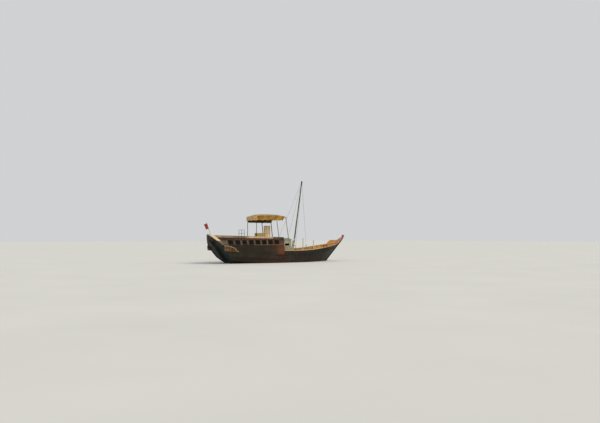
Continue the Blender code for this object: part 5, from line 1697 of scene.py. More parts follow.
@dataclass
class Decks:
    """Laid planks on the main, fore and poop decks, with margin planks along their edges."""

    width: float = 0.145
    seam: float = 0.006
    proud: float = 0.012
    board: float = 3.4
    front_pitch: float = 0.15

    def runs(self, span: Pair, inside: Callable[[float], bool]) -> list[Pair]:
        """Lengths of a plank that lie on the deck.

        Args:
            span: The deck's ends along the ship.
            inside: Whether the plank lies on the deck at a place along the ship.

        Returns:
            The ends of each length.
        """
        step = 0.06
        x, start, found = span[0], None, []
        while x <= span[1] + 1e-6:
            if inside(x) and start is None:
                start = x
            if start is not None and (not inside(x) or x + step > span[1]):
                if x - start > 0.3:
                    found.append((start, x))
                start = None
            x += step
        return found

    def lay(
        self, shape: Joiner, z: float, span: Pair, wide: Pair, hole: tuple[float, float, float]
    ) -> None:
        """Lay planks along a deck.

        Args:
            shape: The mesh that they go into.
            z: The deck's top.
            span: Its ends along the ship.
            wide: Height where its width is read from the skin, and what the sides take of it.
            hole: Ends and half width of an opening.
        """
        for n in range(-20, 20):
            y0, y1 = n * self.width, (n + 1) * self.width - self.seam
            near = min(abs(y0), abs(y1))

            def inside(x: float) -> bool:
                """Whether the plank lies on the deck at a place along the ship."""
                half = FORM.half_breadth(FORM.share_at(x, wide[0]), wide[0]) - wide[1]
                return half >= near + 0.008 and not (hole[0] < x < hole[1] and near < hole[2])

            for first, last in self.runs(span, inside):
                at = first
                while at < last - 1e-6:
                    end = at + self.board * shape.random.uniform(0.6, 1.2)
                    end = last if last - end < 0.8 else end
                    y, mid_z = (y0 + y1) / 2, z + self.proud / 2 - 0.002
                    shape.bar(
                        (at + 0.002, y, mid_z), (end - 0.002, y, mid_z), y1 - y0, self.proud + 0.004, Y, 0.002)
                    at = end

    def margin(self, shape: Joiner, z: float, inset: float, first: float, last: float) -> None:
        """Lay the margin planks along both edges of a deck.

        Args:
            shape: The mesh that they go into.
            z: The deck's top.
            inset: Distance of the plank's outer edge in from the skin.
            first: Share of the length at its aft end.
            last: Share at its fore end.
        """
        inner, high = -inset - 0.15, self.proud + 0.003
        form = section(level(z), level(z), (
            (inner, 0, -0.004), (-inset, 0, -0.004), (-inset, 0, high), (inner, 0, high)))
        for side in (-1, 1):
            shape.boards(side, form, first, last, 3.6, 0.003)

    def build(self) -> None:
        """Lay the three decks, then board the fore deck's and the poop's fronts."""
        for number, (name, z, span, wide, hole, inset, first, last) in enumerate((
            ("main", DECK_TOP_Z, (-0.54, 7.22), (DECK_TOP_Z, 0.26), (4.60, 6.07, 0.66), 0.108, 0.447,
             FORM.share_at(7.17, DECK_TOP_Z)),
            ("fore", FORE_DECK_Z, (7.275, 9.80), (FORE_DECK_Z, 0.27), (0.0, 0.0, 0.0), 0.112, 0.8625, 0.990),
            ("poop", POOP_DECK_Z, (-9.94, -0.642), (3.15, 0.235), (0.0, 0.0, 0.0), 0.078, 0.003, 0.4435),
        )):
            shape = Joiner(100 + number)
            self.lay(shape, z, span, wide, hole)
            self.margin(shape, z, inset, first, last)
            shape.keep(f"{name}_deck_planks", DECKING, "weathered_deck")
        dress(SEAM, "main_deck", "fore_deck", "poop_deck")

        front = Joiner(103)
        x, limit = FORM.place(FORM.share_at(7.27, 1.4), 1.4)[0], 1.6
        for n in range(-13, 13):
            y0, y1 = n * self.front_pitch + 0.003, (n + 1) * self.front_pitch - 0.003
            reach, foot = max(abs(y0), abs(y1)), 0.94
            while foot < limit and FORM.half_breadth(FORM.share_at(x, foot), foot) - 0.107 < reach:
                foot += 0.03
            if foot < limit:
                front.block((x - 0.018, y0, foot), (x + 0.004, y1, FORE_DECK_Z - 0.084), 0.003)
        half = FORM.half_breadth(FORM.share_at(7.22, 1.74), 1.74) - 0.106
        front.block((7.168, -half, 1.695), (7.273, half, FORE_DECK_Z + self.proud + 0.004), 0.008)
        front.keep("fore_deck_front", COAMING, "varnished_timber")

        wall = Joiner(104)
        for side in (-1, 1):
            y = 1.33
            while y < 2.5:
                low, high = sorted((side * y, side * (y + 0.13)))
                wall.block((-0.662, low, 0.94), (-0.645, high, 3.09), 0.003)
                y += 0.136
        wall.block((-0.640, -2.60, 3.105), (-0.546, 2.60, POOP_DECK_Z + self.proud + 0.004), 0.008)
        wall.keep("poop_front_boards", UPPER, "poop_teak")
        dress(UPPER, "poop_bulkhead")


Opening = tuple[float, float, float, float]                # sides, foot and head
Wall = Callable[[float, float, float], Place]              # run along the wall, distance out, height


@dataclass
class Deckhouse:
    """The house before the poop: boarded walls, window frames with bars, panelled door and roof."""

    aft: float = -0.60
    fore: float = 1.56
    half: float = 1.24
    foot: float = 0.935
    head: float = 3.10
    proud: float = 0.014
    board: float = 0.118
    side_window: Opening = (-0.27, 1.23, 2.28, 2.62)
    front_window: Opening = (0.30, 0.90, 2.16, 2.60)
    door: Opening = (-0.932, -0.228, 1.0083, 2.7123)
    door_thick: float = 0.04
    stile: float = 0.095
    trim: float = 0.055

    def cover(self, shape: Joiner, span: Pair, openings: Sequence[Opening], place: Wall) -> None:
        """Board a wall upright round its openings.

        Args:
            shape: The mesh that the boards go into.
            span: The wall's ends.
            openings: Its openings.
            place: Gives a point of the wall.
        """
        run = span[0]
        while run < span[1] - 0.02:
            end = min(run + self.board, span[1])
            pieces = [(self.foot, self.head)]
            for low, high, foot, head in openings:
                if end > low + 0.01 and run < high - 0.01:
                    cut = [((a, min(b, foot)), (max(a, head), b)) for a, b in pieces]
                    pieces = [(a, b) for pair in cut for a, b in pair if b - a > 0.05]
            for foot, head in pieces:
                corners = list(zip(place(run + 0.002, -0.004, foot), place(end - 0.002, self.proud, head)))
                shape.block([min(pair) for pair in corners], [max(pair) for pair in corners], 0.003)
            run = end

    def frame(self, shape: Joiner, opening: Opening, place: Wall, across: Place) -> None:
        """Put a frame and a sill round an opening.

        Args:
            shape: The mesh that they go into.
            opening: The opening.
            place: Gives a point of the wall.
            across: Direction along the wall.
        """
        low, high, foot, head = opening
        t, out, lap = self.trim, self.proud, 0.008
        for run in (low - t / 2 + lap, high + t / 2 - lap):
            shape.bar(place(run, out, foot - t), place(run, out, head + t), t, 0.030, across, 0.005)
        for z in (foot - t / 2 + 0.006, head + t / 2 - 0.006):
            shape.bar(place(low + lap, out, z), place(high - lap, out, z), t, 0.034, Z, 0.005)
        sill = [place(run, out + 0.014, foot - t) for run in (low - t - 0.02, high + t + 0.02)]
        shape.bar(*sill, 0.03, 0.06, Z, 0.006)

    def build(self) -> None:
        """Build the house and its door."""
        bars = Repeats("deckhouse_bars", Unit.TURNED, 0.032, 0.032, seed=6)
        low, high, foot, head = self.side_window
        for side, tag in SIDES:
            boards, trim = Joiner(110 + side), Joiner(112 + side)

            def on_side(run: float, out: float, z: float, side: int = side) -> Place:
                """Point on this side's wall."""
                return run, side * (self.half + out), z

            self.cover(boards, (self.aft, self.fore), (self.side_window,), on_side)
            self.frame(trim, self.side_window, on_side, X)
            aft, fore, corner = self.aft, self.fore, self.fore - 0.015
            for start, end, wide, deep, across, chamfer in (
                (on_side(aft, 0.012, 0.98), on_side(fore, 0.012, 0.98), 0.09, 0.03, Z, 0.008),
                (on_side(aft, 0.018, 3.07), on_side(fore + 0.02, 0.018, 3.07), 0.07, 0.036, Z, 0.008),
                (on_side(corner, -0.015, self.foot), on_side(corner, -0.015, self.head), 0.09, 0.09, X, 0.010),
            ):
                trim.bar(start, end, wide, deep, across, chamfer)
            for n in range(12):
                at = low + (high - low) * (n + 0.5) / 12
                bars.stand(on_side(at, -0.03, foot), on_side(at, -0.03, head))
            boards.keep(f"house_boards_{tag}", HOUSE, "grey_white_paint")
            trim.keep(f"house_trim_{tag}", HOUSE_TRIM, "grey_white_paint")

        def on_front(run: float, out: float, z: float) -> Place:
            """Point on the front wall."""
            return self.fore + out, run, z

        boards, trim = Joiner(115), Joiner(116)
        y0, y1, _, z1 = self.door
        doorway = (y0 - 0.012, y1 + 0.012, 0.90, z1 + 0.012)
        inside = self.half - 0.06
        self.cover(boards, (-inside, inside), (doorway, self.front_window), on_front)
        self.frame(trim, self.front_window, on_front, Y)
        for y in (y0 - 0.050, y1 + 0.042):
            trim.bar(on_front(y, 0.006, self.foot), on_front(y, 0.006, z1 + 0.07), 0.055, 0.026, Y, 0.005)
        lintel = [on_front(y, 0.008, z1 + 0.045) for y in (y0 - 0.075, y1 + 0.068)]
        trim.bar(*lintel, 0.06, 0.030, Z, 0.005)
        trim.bar(on_front(-inside, 0.018, 3.07), on_front(inside, 0.018, 3.07), 0.07, 0.036, Z, 0.008)
        self.build_shutter()
        low, high, foot, head = self.front_window
        for n in range(5):
            at = low + (high - low) * (n + 0.5) / 5
            bars.stand(on_front(at, -0.03, foot), on_front(at, -0.03, head))
        boards.keep("house_boards_front", HOUSE, "grey_white_paint")
        trim.keep("house_trim_front", HOUSE_TRIM, "grey_white_paint")
        bars.build(BAR, "poop_teak")
        dress(HOUSE, "deckhouse_side_stbd", "deckhouse_side_port", "deckhouse_front")
        soften("deckhouse_roof", ROOF, "grey_white_paint", edge=0.012)
        self.build_door()

    def build_shutter(self) -> None:
        """Close the port window with three sliding leaves behind its bars."""
        low, high, foot, head = self.side_window
        shutter = Joiner(119)
        wide = (high - low) / 3
        for k in range(3):
            inner = self.half - 0.058 + 0.005 * (k % 2)
            shutter.block((low + k * wide, inner, foot), (low + (k + 1) * wide, inner + 0.012, head), 0.002)
        shutter.keep("house_shutter", PARTITION, "poop_teak")

    def build_door(self) -> None:
        """Panel the door and hang its ring and hinges."""
        y0, y1, z0, z1 = self.door
        back, face, stile = self.fore - self.door_thick, self.fore, self.stile
        leaf = Joiner(117)
        leaf.block((back + 0.008, y0 + 0.01, z0 + 0.01), (face - 0.014, y1 - 0.01, z1 - 0.01), 0.002, 0.4)
        for y in (y0 + stile / 2, y1 - stile / 2):
            leaf.block((back, y - stile / 2, z0), (face, y + stile / 2, z1))
        middle = (back + face) / 2
        for z, wide in ((z0 + 0.08, 0.16), (z0 + 0.66, 0.10), (z0 + 1.14, 0.10), (z1 - 0.06, 0.12)):
            leaf.bar((middle, y0 + stile, z), (middle, y1 - stile, z), wide, 0.036, Z)
        for foot, head in ((z0 + 0.19, z0 + 0.58), (z0 + 0.74, z0 + 1.06), (z0 + 1.22, z1 - 0.15)):
            leaf.block((face - 0.018, y0 + stile + 0.03, foot), (face - 0.006, y1 - stile - 0.03, head), 0.006)
        leaf.keep("door_leaf", DOOR, "poop_teak", "deckhouse_door", body="house_door")
        iron = Joiner(118)
        for z in (z0 + 0.20, z1 - 0.22):
            iron.bar((face + 0.0015, y0 + 0.03, z), (face + 0.0015, y0 + 0.34, z), 0.035, 0.005, Z, 0.001)
        centre = Vector((face + 0.010, y1 - 0.05, z0 + 0.90))
        iron.hoop(centre + Vector((0.004, 0, -0.026)), (0, 0, 0.032), (0, 0.032, 0), 0.0045, 20, 8)
        iron.bar(centre - Vector((0.011, 0, 0)), centre + Vector((0.004, 0, 0)), 0.03, 0.03, Y, 0.006)
        iron.keep("door_ring_and_hinges", IRON, body="house_door")


@dataclass
class Hatch:
    """The hold's coaming and its battened cover."""

    middle: float = 5.335
    length: float = 1.44
    width: float = 1.30
    top: float = 1.2603
    lip: float = 0.03
    thick: float = 0.05
    boards: int = 9

    def build(self) -> None:
        """Build the cover and iron the coaming's corners."""
        soften("hatch_coaming", COAMING, "varnished_timber")
        cover = Joiner(120)
        x0, x1 = self.middle - self.length / 2 - self.lip, self.middle + self.length / 2 + self.lip
        half = self.width / 2 + self.lip
        low, high = self.top + SEAT, self.top + SEAT + self.thick
        edges = steps(-half, half, self.boards)
        for y0, y1 in zip(edges, edges[1:]):
            cover.block((x0, y0 + 0.002, low), (x1, y1 - 0.002, high - 0.012), 0.003)
        cover.block((x0 + 0.02, -half + 0.02, low + 0.004), (x1 - 0.02, half - 0.02, low + 0.020), 0.002, 0.2)
        for x in (self.middle - 0.52, self.middle, self.middle + 0.52):
            cover.bar((x, -half + 0.02, high - 0.007), (x, half - 0.02, high - 0.007), 0.09, 0.020, X, 0.005)
        cover.keep("hatch_boards", HATCH, "weathered_deck", "hatch_cover", body="hatch_lid")
        iron = Joiner(121)
        for x in (self.middle - 0.52, self.middle + 0.52):
            iron.bar((x, half - 0.30, high + 0.005), (x, half - 0.01, high + 0.005), 0.04, 0.006, X, 0.001)
            iron.hoop((x, -0.30, high + 0.011), (0.05, 0, 0), (0, 0.05, 0), 0.006, 20, 8)
        iron.keep("hatch_irons", IRON, body="hatch_lid")
        corners = Joiner(122)
        for x, sx in ((self.middle - self.length / 2, -1), (self.middle + self.length / 2, 1)):
            for y, sy in ((-self.width / 2, -1), (self.width / 2, 1)):
                for z in (1.00, 1.18):
                    face = x + sx * 0.002
                    corners.bar((face, y - sy * 0.14, z), (face, y, z), 0.04, 0.006, Z, 0.001)
                    face = y + sy * 0.002
                    corners.bar((x - sx * 0.14, face, z), (x, face, z), 0.04, 0.006, Z, 0.001)
        corners.keep("coaming_irons", IRON)


@dataclass
class Mast:
    """The raked mast with its rope bands and sheaves, its heel post, and the shrouds' deadeyes."""

    foot_x: float = 2.58
    rake: float = 0.1538
    foot_z: float = 0.9203
    top: float = 11.0
    foot_radius: float = 0.11
    head_radius: float = 0.065
    cheeks: float = 0.515
    deadeyes: Pair = (0.16, 0.62)      # up the shroud from its foot

    def axis(self, z: float, dx: float = 0.0, y: float = 0.0) -> Vector:
        """Point of the mast's axis, or beside it."""
        return Vector((self.foot_x + self.rake * (z - DECK_TOP_Z) + dx, y, z))

    def radius(self, z: float) -> float:
        """The mast's radius at a height."""
        share = (z - self.foot_z) / (self.top - self.foot_z)
        return self.foot_radius + (self.head_radius - self.foot_radius) * share

    def build(self) -> None:
        """Make the spar, its bands and its head."""
        spar = Joiner(130)
        zs = steps(self.foot_z, self.top, 30)
        spar.tube(
            [self.axis(z, 0.006 * math.sin(2.1 * z), 0.004 * math.sin(1.3 * z)) for z in zs],
            [self.radius(z) * (1 + 0.025 * math.sin(5.1 * z)) for z in zs], 28, tone=0.5)
        spar.keep("mast_spar", SPAR, "mast_timber", "mast")
        bands = Joiner(131)
        for z in (1.9, 3.02, 4.9, 6.6, 8.3, 9.7, 10.75):
            for n in range(5 if z < 10 else 8):
                at = z + 0.016 * n
                radius = self.radius(at) + 0.005
                bands.hoop(self.axis(at), (radius, 0, 0), (0.004 * self.rake, radius, 0.004), 0.009, 28)
        bands.keep("mast_rope_bands", HEMP, "stay_rope")
        self.build_head()
        soften("mast_heel_post", PALE_POST, "grey_white_paint", edge=0.012)
        lashing = Joiner(134)
        wide, deep, square = 0.19, 0.125, 0.7
        for z in (2.30, 2.78):
            for n in range(5):
                middle = self.axis(z + 0.018 * n, -0.055)
                ring = []
                for t in (math.tau * k / 32 for k in range(32)):
                    x, y = (math.copysign(abs(turn) ** square, turn) for turn in (math.cos(t), math.sin(t)))
                    ring.append(middle + Vector((wide * x, deep * y, 0)))
                lashing.tube(ring, [0.009], 6, ring=True)
        lashing.keep("heel_post_lashings", HEMP, "stay_rope")
        self.build_shrouds()

    def build_head(self) -> None:
        """Make the block at the masthead and its sheaves."""
        head, sheaves = Joiner(132), Joiner(133)
        low, high = self.top + SEAT, self.top + SEAT + self.cheeks
        for y in (-0.062, 0.0, 0.062):
            head.bar(self.axis(low, 0.0, y), self.axis(high, 0.0, y), 0.135, 0.034, X, 0.012)
        for z in (low + 0.03, high - 0.05):
            head.bar(self.axis(z - 0.03), self.axis(z + 0.03), 0.12, 0.15, X, 0.006)
        head.keep("masthead_cheeks", TARRED, "tarred_timber", "masthead_block")
        for z in (low + 0.17, low + 0.36):
            for y in (-0.031, 0.031):
                points = [self.axis(z, 0.0, y + d) for d in (-0.012, -0.006, 0.006, 0.012)]
                sheaves.tube(points, [0.066, 0.056, 0.056, 0.066], 20)
            sheaves.tube([self.axis(z, 0.0, -0.088), self.axis(z, 0.0, 0.088)], [0.012], 10)
        sheaves.keep("masthead_sheaves", IRON)

    def build_shrouds(self) -> None:
        """Give the shrouds their deadeyes and lanyards at the rail."""
        shape, ropes, irons = Joiner(135), Joiner(136), Joiner(137)
        for side, tag in SIDES:
            for number in (1, 2):
                node = f"shroud_{tag}_{number}"
                dress(TARRED_ROPE, node)
                low, high = (Vector(corner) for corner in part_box(node))
                head_x = self.axis(high.z).x + (0.04 if number == 2 else -0.04)
                foot_x = low.x + 0.010 if head_x > (low.x + high.x) / 2 else high.x - 0.010
                outer, inner = (low.y, high.y) if side < 0 else (high.y, low.y)
                foot = Vector((foot_x, outer - side * 0.010, low.z))
                along = (Vector((head_x, inner + side * 0.010, high.z)) - foot).normalized()
                out = Vector((0, side, 0))
                out = (out - along * out.dot(along)).normalized()
                across = along.cross(out)
                eyes = [foot + along * distance for distance in self.deadeyes]
                for centre in eyes:
                    points = [centre + out * d for d in (-0.032, -0.022, 0.022, 0.032)]
                    shape.tube(points, [0.050, 0.066, 0.066, 0.050], 20)
                for offset in (-0.03, 0.0, 0.03):
                    for d in (-0.022, 0.022):
                        ropes.tube([centre + across * offset + out * d for centre in eyes], [0.006], 6)
                irons.bar(foot - along * 0.004, foot + along * 0.12, 0.05, 0.014, across, 0.003)
        shape.keep("deadeyes", TARRED, "tarred_timber")
        ropes.keep("deadeye_lanyards", HEMP, "stay_rope")
        irons.keep("chain_plates", IRON)


@dataclass
class DeckFittings:
    """Posts on the waist deck, and the bitts."""

    posts: tuple[tuple[str, float, float], ...] = (("aft", 4.41, 3.34), ("fore", 6.26, 3.04))
    foot: float = 0.9203
    radius: float = 0.06

    def build(self) -> None:
        """Make the posts and dress the bitts."""
        for tag, x, top in self.posts:
            shape = Joiner(140)
            marks = (
                (self.foot, 1.15), (1.0, 1.15), (1.02, 1.0), (top - 0.28, 0.97), (top - 0.26, 0.86),
                (top - 0.20, 0.86), (top - 0.18, 1.0), (top - 0.06, 1.04), (top - 0.015, 0.9), (top, 0.5))
            shape.tube([(x, 0, z) for z, _ in marks], [self.radius * r for _, r in marks], 24, tone=0.5)
            shape.keep(f"turned_post_{tag}", PALE_POST, "grey_white_paint", f"deck_post_{tag}")
        soften("bow_bitts", COAMING, "varnished_timber", edge=0.010)


# Awning


@dataclass
class Awning:
    """Six posts, the lashed pole frame, and one sheet of canvas with its hanging sides."""

    posts: tuple[tuple[str, float, float, float], ...] = (      # name, foot and head along the ship, radius
        ("aft", -4.02, -4.02, 0.040), ("mid", -1.47, -1.80, 0.055), ("fore", 1.14, 0.68, 0.045))
    foot_z: float = 3.1903
    head_z: float = 6.1497
    pole_z: float = 6.185
    half_span: float = 1.22
    edge: float = 1.37
    batten_y: float = 1.33
    stations: tuple[tuple[float, float, float], ...] = (        # place, heights of the eaves and the crown
        (-4.13, 6.28, 6.42), (-3.45, 6.37, 6.58), (-1.60, 6.41, 6.64), (-0.20, 6.41, 6.62), (0.45, 6.38, 6.53))
    fore_rake: float = 0.60
    hem: float = 5.80
    side_drop: float = 0.6
    scallop: float = 0.035
    thick: float = 0.006
    across: int = 22
    drop: int = 9
    curtain_x: Pair = (-3.94, -0.06)
    curtain_y: float = 1.298
    curtain_top: float = 6.24
    roll_z: float = 5.56
    roll: float = 0.068
    roll_turns: float = 3.6
    roll_pitch: float = 0.0145
    ties: tuple[float, ...] = (-3.70, -2.75, -1.30, -0.30)

    def top(self, x: float, y: float) -> float:
        """Height of the canvas's top, which sags between the poles."""
        xs, lows, highs = zip(*self.stations)
        eaves, crown = FORM.smooth(xs, lows, x), FORM.smooth(xs, highs, x)
        share = min(1.0, max(0.0, (abs(y) - 0.05) / (self.edge - 0.05)))
        heads = [row[2] for row in self.posts]
        sag = 0.0
        for a, b in zip(heads, heads[1:]):
            if a < x < b:
                sag = 0.045 * math.sin(math.pi * (x - a) / (b - a)) ** 2 * math.sin(math.pi * share)
        return crown + (eaves - crown) * share - sag - 0.012

    def foot(self, x: float) -> float:
        """Height of the scalloped hem."""
        drop = 0.03 * max(0.0, min(1.0, -2.6 - x))
        return self.hem - drop - self.scallop * math.cos(math.tau * (x + 4.13) / 0.94)

    def hang(self, x: float, side: int, share: float, inset: float = 0.012, lift: float = 0.0) -> Place:
        """Point of a hanging side.

        Args:
            x: Its place along the ship at the eaves.
            side: -1 to starboard, 1 to port.
            share: How far down it is, from 0 at the eaves to 1 at the hem.
            inset: Distance in from the canvas's edge.
            lift: Distance above the canvas.

        Returns:
            The point.
        """
        eaves = self.top(x, self.edge)
        z = eaves + share * (self.foot(x) - eaves)
        lean = max(0.0, (x + 0.75) / 1.2) * self.fore_rake * (eaves - z)
        bulge = 0.022 * share * math.sin(4.7 * x + side) + 0.012 * share * math.sin(11.0 * x)
        return x - lean, side * (self.edge - inset - 0.02 * share + bulge), z + lift

    def build_canvas(self) -> bpy.types.Object:
        """Make the canvas: its top and sides in one, and the aft flap joined along its edges."""
        cloth = Weaver()
        slope = math.hypot(self.edge, 0.22)
        downs = [(n + 1) / self.drop for n in range(self.drop)]
        ups = [1 - n / self.drop for n in range(self.drop)]
        rows = []
        for x in steps(self.stations[0][0], self.stations[-1][0], 46):
            line = [(self.hang(x, -1, share), -slope - share * self.side_drop) for share in ups]
            for y in steps(-self.edge, self.edge, self.across):
                inside = math.copysign(min(abs(y), self.edge - 0.012), y)
                line.append(((x, inside, self.top(x, y)), y * slope / self.edge))
            line += [(self.hang(x, 1, share), slope + share * self.side_drop) for share in downs]
            rows.append([cloth.knot(place, (run, x)) for place, run in line])
        cloth.join(rows)
        self.aft_flap(cloth, rows[0])
        return cloth.finish("awning_sheet", CANVAS, self.thick)

    def aft_flap(self, cloth: Weaver, ring: Sequence[Knot]) -> None:
        """Hang the aft flap from the top's aft edge, sewn to the sides' edges.

        Args:
            cloth: The canvas.
            ring: The points of its aft section, from hem to hem.
        """
        upper = ring[self.drop:len(ring) - self.drop]
        left, right = ring[:self.drop + 1][::-1], ring[len(ring) - self.drop - 1:]
        aft = self.stations[0][0]
        rows = [list(upper)]
        for n in range(1, self.drop + 1):
            share = n / self.drop
            row = [left[n]]
            for vert in upper[1:-1]:
                y, z = vert.co.y, vert.co.z
                z += share * (self.hem - 0.045 - self.scallop * math.cos(math.tau * y / 0.9) - z)
                x = aft - 0.014 * math.sin(3.3 * y) * math.sin(math.pi * share / 1.6)
                row.append(cloth.knot((x, y, z), (y, aft - share * 0.65)))
            rows.append(row + [right[n]])
        cloth.join(rows)

    def build(self) -> None:
        """Make the posts, the frame and the canvas."""
        count = 12
        zs = steps(self.foot_z, self.head_z, count)
        for side, tag in SIDES:
            for (where, foot_x, head_x, radius), finish in zip(self.posts, (POST_DARK, POST_RED, POST_GOLD)):
                y = side * self.half_span
                points = [
                    (x + 0.006 * math.sin(k * 1.3 + side), y + 0.005 * math.sin(k * 0.9), z)
                    for k, (x, z) in enumerate(zip(steps(foot_x, head_x, count), zs))]
                points[0], points[-1] = (foot_x, y, zs[0]), (head_x, y, zs[-1])
                radii = [radius * (1 - 0.15 * k / count + 0.03 * math.sin(2.3 * k)) for k in range(count + 1)]
                shape = Joiner(150)
                shape.tube(points, radii, 20, tone=0.5)
                shape.keep(f"pole_{where}_{tag}", finish, "olive_paint", f"awning_post_{where}_{tag}")
        self.build_frame()
        canvas = self.build_canvas()
        self.build_curtain()
        keep(canvas, "hull", "awning_canvas", ("awning_canvas",))
        hem = Joiner(155)
        for side in (-1, 1):
            xs = steps(-4.12, 0.44, 60)
            hem.tube([self.hang(x, side, 1.0, 0.015, 0.004) for x in xs], [0.009], 8)
        ropes = hem.keep("awning_bolt_ropes", HEMP, "stay_rope")

    def build_curtain(self) -> None:
        """Hang the port side curtain from the eaves batten, its lower part rolled up and tied."""
        outer = self.roll
        halfway = (self.curtain_top + self.roll_z) / 2
        fall_line = [(0.0, z) for z in (self.curtain_top, halfway, self.roll_z + 0.05)]
        for turn in steps(0.0, self.roll_turns, 64):
            angle, radius = math.tau * turn, outer - self.roll_pitch * turn
            fall_line.append((outer - radius * math.cos(angle), self.roll_z - radius * math.sin(angle)))
        run = [0.0]
        for (a, b), (c, d) in zip(fall_line, fall_line[1:]):
            run.append(run[-1] + math.hypot(c - a, d - b))
        cloth, rows, count = Weaver(), [], 36
        for k, x in enumerate(steps(*self.curtain_x, count)):
            tie = min(self.ties, key=lambda place: abs(place - x))
            squeeze = 1 - 0.16 * math.exp(-((x - tie) / 0.12) ** 2)
            sag = 0.03 * math.sin(math.pi * k / count) + 0.012 * math.sin(7.0 * x)
            row = []
            for (y, z), length in zip(fall_line, run):
                rolled = z < self.roll_z + 0.08
                y = outer + (y - outer) * squeeze if rolled else y + 0.006 * math.sin(9.0 * x)
                z = self.roll_z + (z - self.roll_z) * squeeze if rolled else z
                fall = (self.curtain_top - z) / (self.curtain_top - self.roll_z)
                row.append(cloth.knot((x, self.curtain_y + y, z - sag * min(1.0, fall)), (x, length)))
            rows.append(row)
        cloth.join(rows, turned=True)
        curtain = keep(cloth.finish("side_curtain", CURTAIN, 0.004, even=False), "hull", "awning_canvas")
        cords = Joiner(158)
        for x in self.ties:
            high = self.top(x, self.batten_y) - 0.045
            middle, low = (1.315 + self.curtain_y + outer) / 2, self.roll_z - outer - 0.035
            for d in (-0.012, 0.012):
                centre = (x + d, middle, (high + low) / 2)
                cords.hoop(centre, (0, outer + 0.045, 0), (0, 0, (high - low) / 2 + 0.028), 0.006, 24)
        ties = cords.keep("curtain_ties", HEMP, "stay_rope")

    def build_frame(self) -> None:
        """Lash together the side poles, crossbars, rafters, ridge and eaves battens."""
        shape, ties = Joiner(156), Joiner(157)
        marks = [row[2] for row in self.posts]
        aft, fore, reach = self.stations[0][0] + 0.08, marks[-1] - 0.29, marks[-1] + 0.12
        pole = self.pole_z
        for side in (-1, 1):
            y = side * self.half_span
            xs = steps(aft, reach, 10)
            shape.tube(
                [(x, y + 0.004 * math.sin(3 * x), pole + 0.006 * math.sin(2 * x)) for x in xs],
                [0.034 + 0.002 * math.sin(5 * x) for x in xs])
            batten = [(x, side * 1.315, self.top(x, self.batten_y) - 0.045) for x in steps(aft, fore, 10)]
            shape.tube(batten, [0.022], 12)
            for x in marks:
                at = min(x, fore)
                rafter = [
                    (at, side * 0.03, self.top(at, 0.0) - 0.075),
                    (at, side * 1.335, self.top(at, self.batten_y) - 0.075)]
                shape.tube(rafter, [0.020], 12)
                shape.tube([(at, y, pole), (at, y, self.top(at, self.half_span) - 0.07)], [0.022], 12)
                for n in range(4):
                    ties.hoop((x - 0.036 + 0.024 * n, y, 6.168), (0, 0.052, 0), (0, 0, 0.056), 0.008, 20)
        wide, bar_z = self.half_span + 0.06, pole + 0.006
        for x in marks:
            shape.tube([(x, -wide, bar_z), (x, wide, bar_z)], [0.030])
            at = min(x, fore)
            shape.tube([(at, 0, pole), (at, 0, self.top(at, 0.0) - 0.05)], [0.026], 12)
        shape.tube([(x, 0, self.top(x, 0.0) - 0.043) for x in steps(aft, fore, 12)], [0.032])
        shape.keep("awning_poles", POLES, "olive_paint", "awning_frame")
        ties.keep("awning_lashings", HEMP, "stay_rope")


# Poop furniture and rudder


